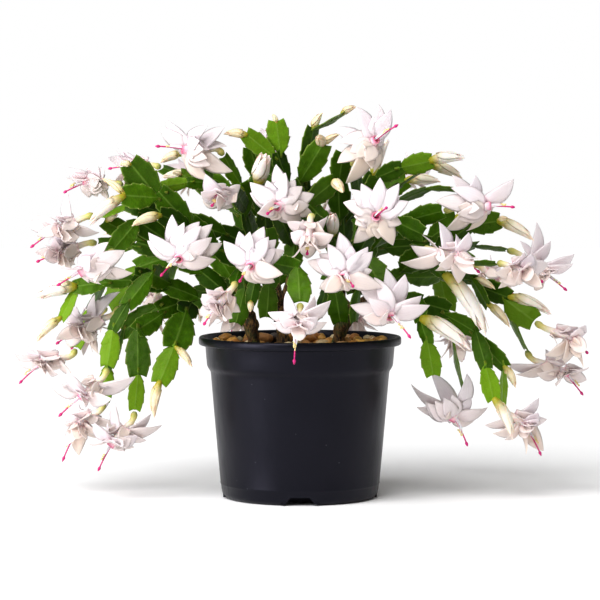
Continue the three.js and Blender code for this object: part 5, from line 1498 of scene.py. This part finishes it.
def add_petal(skin, root, tip, axis, width, shade, draw):
    """A petal from the tube's middle line at its root to its tip."""
    out = square_to(tip - root, axis)
    base = root + out * ROOT_CIRCLE
    run = tip - base
    length = np.linalg.norm(run)
    along = run / length
    front = square_to(axis, along)
    side = petal_side(axis, along)
    bulge = 0.08 + 0.06 * next(draw)
    first_pull = base + run * 0.3 + front * (length * bulge * 1.35)
    last_pull = base + run * 0.74 + front * (length * bulge)
    t = PETAL_ROWS[:, None]
    path = (base * (1 - t) ** 3 + first_pull * (3 * t * (1 - t) ** 2) + last_pull * (3 * t * t * (1 - t))
            + tip * t ** 3)
    direction = np.gradient(path, PETAL_ROWS, axis=0)
    direction /= np.linalg.norm(direction, axis=1)[:, None]
    normal = np.cross(direction, side)
    half = np.interp(PETAL_ROWS, *PETAL_OUTLINE) * width / 2
    cup = 0.02 + 0.1 * next(draw)
    twist = (next(draw) * 2 - 1) * 0.22
    ripple = next(draw) * 6.3
    s = PETAL_ACROSS[None, :]
    hug = np.interp(PETAL_ROWS, [0, 0.2, 0.55, 1], [0.5, 0.14, cup, -0.04])[:, None]
    bend = -hug * s ** 2 * half[:, None] + twist * s * half[:, None] * t
    bend = bend + 0.35 * np.abs(s) ** 3 * np.sin(9 * t + ripple + s * 1.3) * np.sin(math.pi * t)
    crease = -0.25 * np.exp(-(s / 0.25) ** 2) * np.sin(math.pi * np.minimum(t * 1.2, 1))
    shell = (ROOT_HALF - THINNING * t) * np.sqrt(np.maximum(1 - s ** 4, 0)) * PETAL_UPPER[None, :]
    rings = (path[:, None] + side * (s * half[:, None])[..., None]
             + normal[:, None] * (bend + crease + shell)[..., None])
    rings = held_inside(np.concatenate([rings.reshape(-1, 3), [tip]]), base)
    tip = rings[-1]
    rings = rings[:-1].reshape(len(PETAL_ROWS), -1, 3)
    add_rings(skin, rings, 0, PETAL_ROWS, across=PETAL_ACROSS, tint=shade, start=base, end=tip)

# %% Petals that the solids leave out
def painted_shade_of(root, tip, chance):
    """How much painted shade a petal gets: none where it faces the light, a cream shade where it hangs down."""
    return min(max(0.34 - 0.42 * unit(tip - root)[2] + 0.3 * chance, 0), 1)


GAP_TO_FILL, WIDE_GAP = 27, 75
FARTHEST = 28
FILLER_WIDTH = 14
SLEEVE_PETALS = 5
SLEEVE_WIDTH = 11


def petals_between(bloom):
    """Shorter petals behind the gaps between the grown ones, and petals that wrap the tube."""
    axis, tube = bloom["axis"], bloom["tube"]
    across = square_to(UP, axis)
    other = np.cross(axis, across)
    throat, middle = inside_tube(tube, 0.88), inside_tube(tube, 0.45)
    fan = []
    for petal in bloom["petals"]:
        reach = petal["tip"] - throat
        fan.append((math.degrees(math.atan2(reach @ other, reach @ across)) % 360, reach))
    fan.sort(key=lambda entry: entry[0])
    found = []
    for (angle, reach), (after, next_reach) in zip(fan, fan[1:] + [(fan[0][0] + 360, fan[0][1])]):
        gap = after - angle
        count = int(gap // GAP_TO_FILL) if gap > WIDE_GAP else int(gap > GAP_TO_FILL)
        for k in range(count):
            share = (k + 1) / (count + 1)
            turn = math.radians(angle + gap * share)
            out = across * math.cos(turn) + other * math.sin(turn)
            mean = reach * (1 - share) + next_reach * share
            rise = mean @ axis
            spread = math.sqrt(max(reach @ reach, next_reach @ next_reach) - rise * rise)
            length = 0.8 if gap < WIDE_GAP else 0.6
            tip = throat + (out * min(spread, FARTHEST) + axis * rise) * length
            found.append((throat, tip, FILLER_WIDTH))
    for k in range(SLEEVE_PETALS):
        turn = math.radians(fan[0][0] + 20 + 360 * k / SLEEVE_PETALS)
        out = across * math.cos(turn) + other * math.sin(turn)
        tip = throat + out * (11 + 3 * (k % 2)) - axis * (5 - 2 * (k % 2))
        found.append((middle, tip, SLEEVE_WIDTH))
    return found

# %% Tube, throat and thread helpers
TUBE_SHARES = np.array([0, 0.03, 0.08, 0.14, 0.2, 0.3, 0.42, 0.55, 0.68, 0.8, 0.9, 0.97, 1])
TUBE_RADII = ([0, 0.03, 0.08, 0.14, 0.2, 0.3, 0.5, 0.75, 0.9, 1],
              [1.5, 2.2, 2.9, 2.9, 2.4, 2.5, 3.0, 3.5, 3.6, 3.4])
THROAT = [(1.0, 2.8), (0.95, 2.5), (0.86, 2.3), (0.74, 2.0)]
FILAMENTS, FAN = 12, 160
STYLE_RADIUS = 0.6
# Steps along an anther and a stigma, and the radius at each.
ANTHER = ((-0.9, -0.45, 0, 0.45, 0.9), (0.28, 0.55, 0.62, 0.52, 0.26))
STIGMA = ((-1.2, -0.4, 0.6, 1.5, 2.0), (0.65, 1.15, 1.3, 1.0, 0.4))


def tube_path(tube, shares):
    """The tube's middle line: bent up to its bend, then nearly straight to the mouth."""
    bent = bent_path(tube["foot"], tube["control"], tube["mouth"], shares)
    straight = np.array([inside_tube(tube, max(share, TUBE_BEND)) for share in shares])
    mix = np.interp(shares, [0, TUBE_BEND, 0.45, 1], [0, 0, 1, 1])[:, None]
    return bent * (1 - mix) + straight * mix


def add_tube(skin, tube):
    """The ovary, the tube up to its mouth, and the throat that runs back down inside it."""
    path = tube_path(tube, TUBE_SHARES)
    radii = np.interp(TUBE_SHARES, *TUBE_RADII)
    outside = round_rings(path, radii, 20)
    lip = outside[-1] - path[-1]
    inside = [inside_tube(tube, share) + lip * (radius / radii[-1]) for share, radius in THROAT]
    rings = np.concatenate([outside, np.array(inside)])
    along = np.concatenate([TUBE_SHARES, [1.1, 1.3, 1.6, 2.0]])
    add_rings(skin, rings, 1, along, start=path[0], end=inside_tube(tube, 0.66))


def add_thread(skin, path, radii, finish, around=5, tint=0.0):
    """A round thread along a path."""
    steps = np.linspace(0, 1, len(path))
    add_rings(skin, round_rings(path, radii, around), finish, steps, tint=tint, start=path[0], end=path[-1])


def add_stamens(skin, bloom, draw):
    """A bundle of filaments with anthers along the upper edge, and the style past them."""
    tube, axis, style = bloom["tube"], bloom["axis"], bloom["style"]
    upper = square_to(UP, axis)
    side = np.cross(axis, upper)
    throat, mouth = inside_tube(tube, 0.85), tube["mouth"]
    reach = np.linalg.norm(style - mouth)
    for k in range(FILAMENTS):
        turn = math.radians(-FAN / 2 + FAN * k / (FILAMENTS - 1) + 14 * next(draw))
        spoke = upper * math.cos(turn) + side * math.sin(turn)
        stop = mouth + (style - mouth) * (0.34 + 0.26 * next(draw))
        stop = stop + spoke * (0.6 + 0.8 * next(draw)) + upper * 0.8
        start = throat + spoke * 2.0
        steps = np.linspace(0, 1, 7)
        path = bent_path(start, start + axis * reach * 0.45 + spoke * 0.8, stop, steps)
        add_thread(skin, path, np.linspace(0.24, 0.18, 7), 2)
        head = unit(path[-1] - path[-2])
        turned_head = unit(head + side * (next(draw) - 0.5) + upper * (next(draw) - 0.5))
        anther = [stop + turned_head * step for step in ANTHER[0]]
        add_thread(skin, anther, ANTHER[1], 3, around=6, tint=next(draw))
    bow = throat + (style - throat) * 0.5 + upper * reach * 0.06
    path = bent_path(throat, bow, style, np.linspace(0, 1, 11))
    add_thread(skin, path[:-1], np.full(10, STYLE_RADIUS), 4, around=8)
    head = unit(path[-1] - path[-2])
    stigma = [path[-2] + head * step for step in STIGMA[0]]
    stigma[-1] = style
    add_thread(skin, stigma, STIGMA[1], 4, around=10)

# %% [markdown]
# Petals are white with a breath of lilac, and a cream colour is painted on as shade where they hang down. They are
# so thin that light comes through, so the skin scatters light under its surface. Veins about half a millimetre
# apart run the length of each petal, and the root is flushed with pink where it joins the ring of the mouth.

# %% Petal finish
petal_tissue, tree = new_finish("petal_tissue")
place = add_node(tree, "ShaderNodeTexCoord").outputs["Object"]
along, across, tint = (
    add_node(tree, "ShaderNodeAttribute", attribute_name=note).outputs["Fac"] for note in NOTES[:3])
lengthwise = add_node(tree, "ShaderNodeCombineXYZ", {"X": across, "Y": along})
squeeze = add_node(tree, "ShaderNodeMapping", {
    "Vector": lengthwise.outputs[0], "Scale": (14.0, 1.2, 1.0)})
vein = add_node(tree, "ShaderNodeTexNoise", {
    "Vector": squeeze.outputs[0], "Scale": 1.0, "Detail": 2.0}).outputs["Fac"]
crinkle = add_node(tree, "ShaderNodeTexNoise", {"Vector": place, "Scale": per_mm(4), "Detail": 3.0})
# The cream layer, read from the tint note, is painted shade on the petals that hang down.
white = layered(
    tree, "#EDE0E8", (crinkle.outputs["Fac"], "#F5EBF2"), (tint, "#E8D5C4"),
    (vein, "#DDC6CF", 0.5, 0.34, 0.0, 0.45),
    (along, "#E58BB0", 0.0, 0.1, 0.35, 0.0))
close_finish(tree, white, {
    "Roughness": 0.5, "IOR": 1.4, "Specular IOR Level": 0.3, "Subsurface Weight": 0.5,
    "Subsurface Scale": 0.002, "Subsurface Radius": (0.9, 0.9, 1.0)}, relief=(vein, 0.35, 0.0004))

# %% Tube and thread finishes
TUBE_COLOURS = [
    (0.0, "#86901F"), (0.06, "#B4B23A"), (0.12, "#D9D08A"), (0.2, "#EFE4D6"), (0.42, "#F2E6E6"),
    (0.47, "#F0BCCB"), (0.5, "#CE2F78"), (0.56, "#E07FA3"), (0.66, "#EBA89A"), (1.0, "#B8445A")]
MOTTLE_SHARE = 0.25

tube_skin, tree = new_finish("tube_skin")
place = add_node(tree, "ShaderNodeTexCoord").outputs["Object"]
along = add_node(tree, "ShaderNodeAttribute", attribute_name="along")
mottle = add_node(tree, "ShaderNodeTexNoise", {
    "Vector": place, "Scale": per_mm(2.5), "Detail": 4.0}).outputs["Fac"]
band = add_node(tree, "ShaderNodeMapRange", {
    "Value": along.outputs["Fac"], "From Min": 0.0, "From Max": 2.0, "To Min": 0.0, "To Max": 1.0})
tube_colour = add_node(tree, "ShaderNodeValToRGB", {"Fac": band.outputs[0]})
stops = tube_colour.color_ramp.elements
for stop, (position, colour) in ((stops[0], TUBE_COLOURS[0]), (stops[1], TUBE_COLOURS[-1])):
    stop.position, stop.color = position, linear(colour)
for position, colour in TUBE_COLOURS[1:-1]:
    stops.new(position).color = linear(colour)
mottled = layered(tree, tube_colour.outputs[0], (mottle, "#F6E4DC"))
soft_mottle = layered(tree, tube_colour.outputs[0], (MOTTLE_SHARE, mottled))
close_finish(tree, soft_mottle, {
    "Roughness": 0.4, "IOR": 1.42, "Subsurface Weight": 0.2, "Subsurface Scale": 0.002},
    relief=(mottle, 0.2, 0.0003))


def thread_finish(name, dark, light, grain, roughness):
    """A plain fleshy finish of two mingled colours, for a thread, an anther or a style."""
    finish, tree = new_finish(name)
    place = add_node(tree, "ShaderNodeTexCoord").outputs["Object"]
    mingle = add_node(tree, "ShaderNodeTexNoise", {"Vector": place, "Scale": per_mm(grain), "Detail": 3.0})
    close_finish(tree, layered(tree, dark, (mingle.outputs["Fac"], light)), {
        "Roughness": roughness, "IOR": 1.42, "Subsurface Weight": 0.2, "Subsurface Scale": 0.001})
    return finish


white_filament = thread_finish("white_filament", "#EFE3E6", "#FFFFFF", 0.8, 0.45)
pollen_anther = thread_finish("pollen_anther", "#D9B65A", "#F6EBB8", 0.4, 0.9)
magenta_style = thread_finish("magenta_style", "#A80F5A", "#E0348C", 0.9, 0.35)

# %% All the blooms
PETAL_BREADTH = 0.54
SLIMMEST, BROADEST = 9.5, 15

for number, bloom in enumerate(blooms):
    bloom_skin = new_skin()
    draw = numbers(700 + number)
    plan = []
    for petal in bloom["petals"]:
        length = np.linalg.norm(petal["tip"] - petal["root"])
        plan.append((petal["root"], petal["tip"], min(max(length * PETAL_BREADTH, SLIMMEST), BROADEST)))
    for root, tip, width in plan + petals_between(bloom):
        shade = painted_shade_of(root, tip, next(draw))
        add_petal(bloom_skin, root, tip, bloom["axis"], width, shade, draw)
    add_tube(bloom_skin, bloom["tube"])
    add_stamens(bloom_skin, bloom, draw)
    name = f"bloom_{number + 1:02d}"
    piece_from(bloom_skin, name + "_petals", name,
               [petal_tissue, tube_skin, white_filament, pollen_anther, magenta_style])

# %% The box of the solids
print("box of the solids: ", [tuple(round(c, 4) for c in corner) for corner in cad_box])
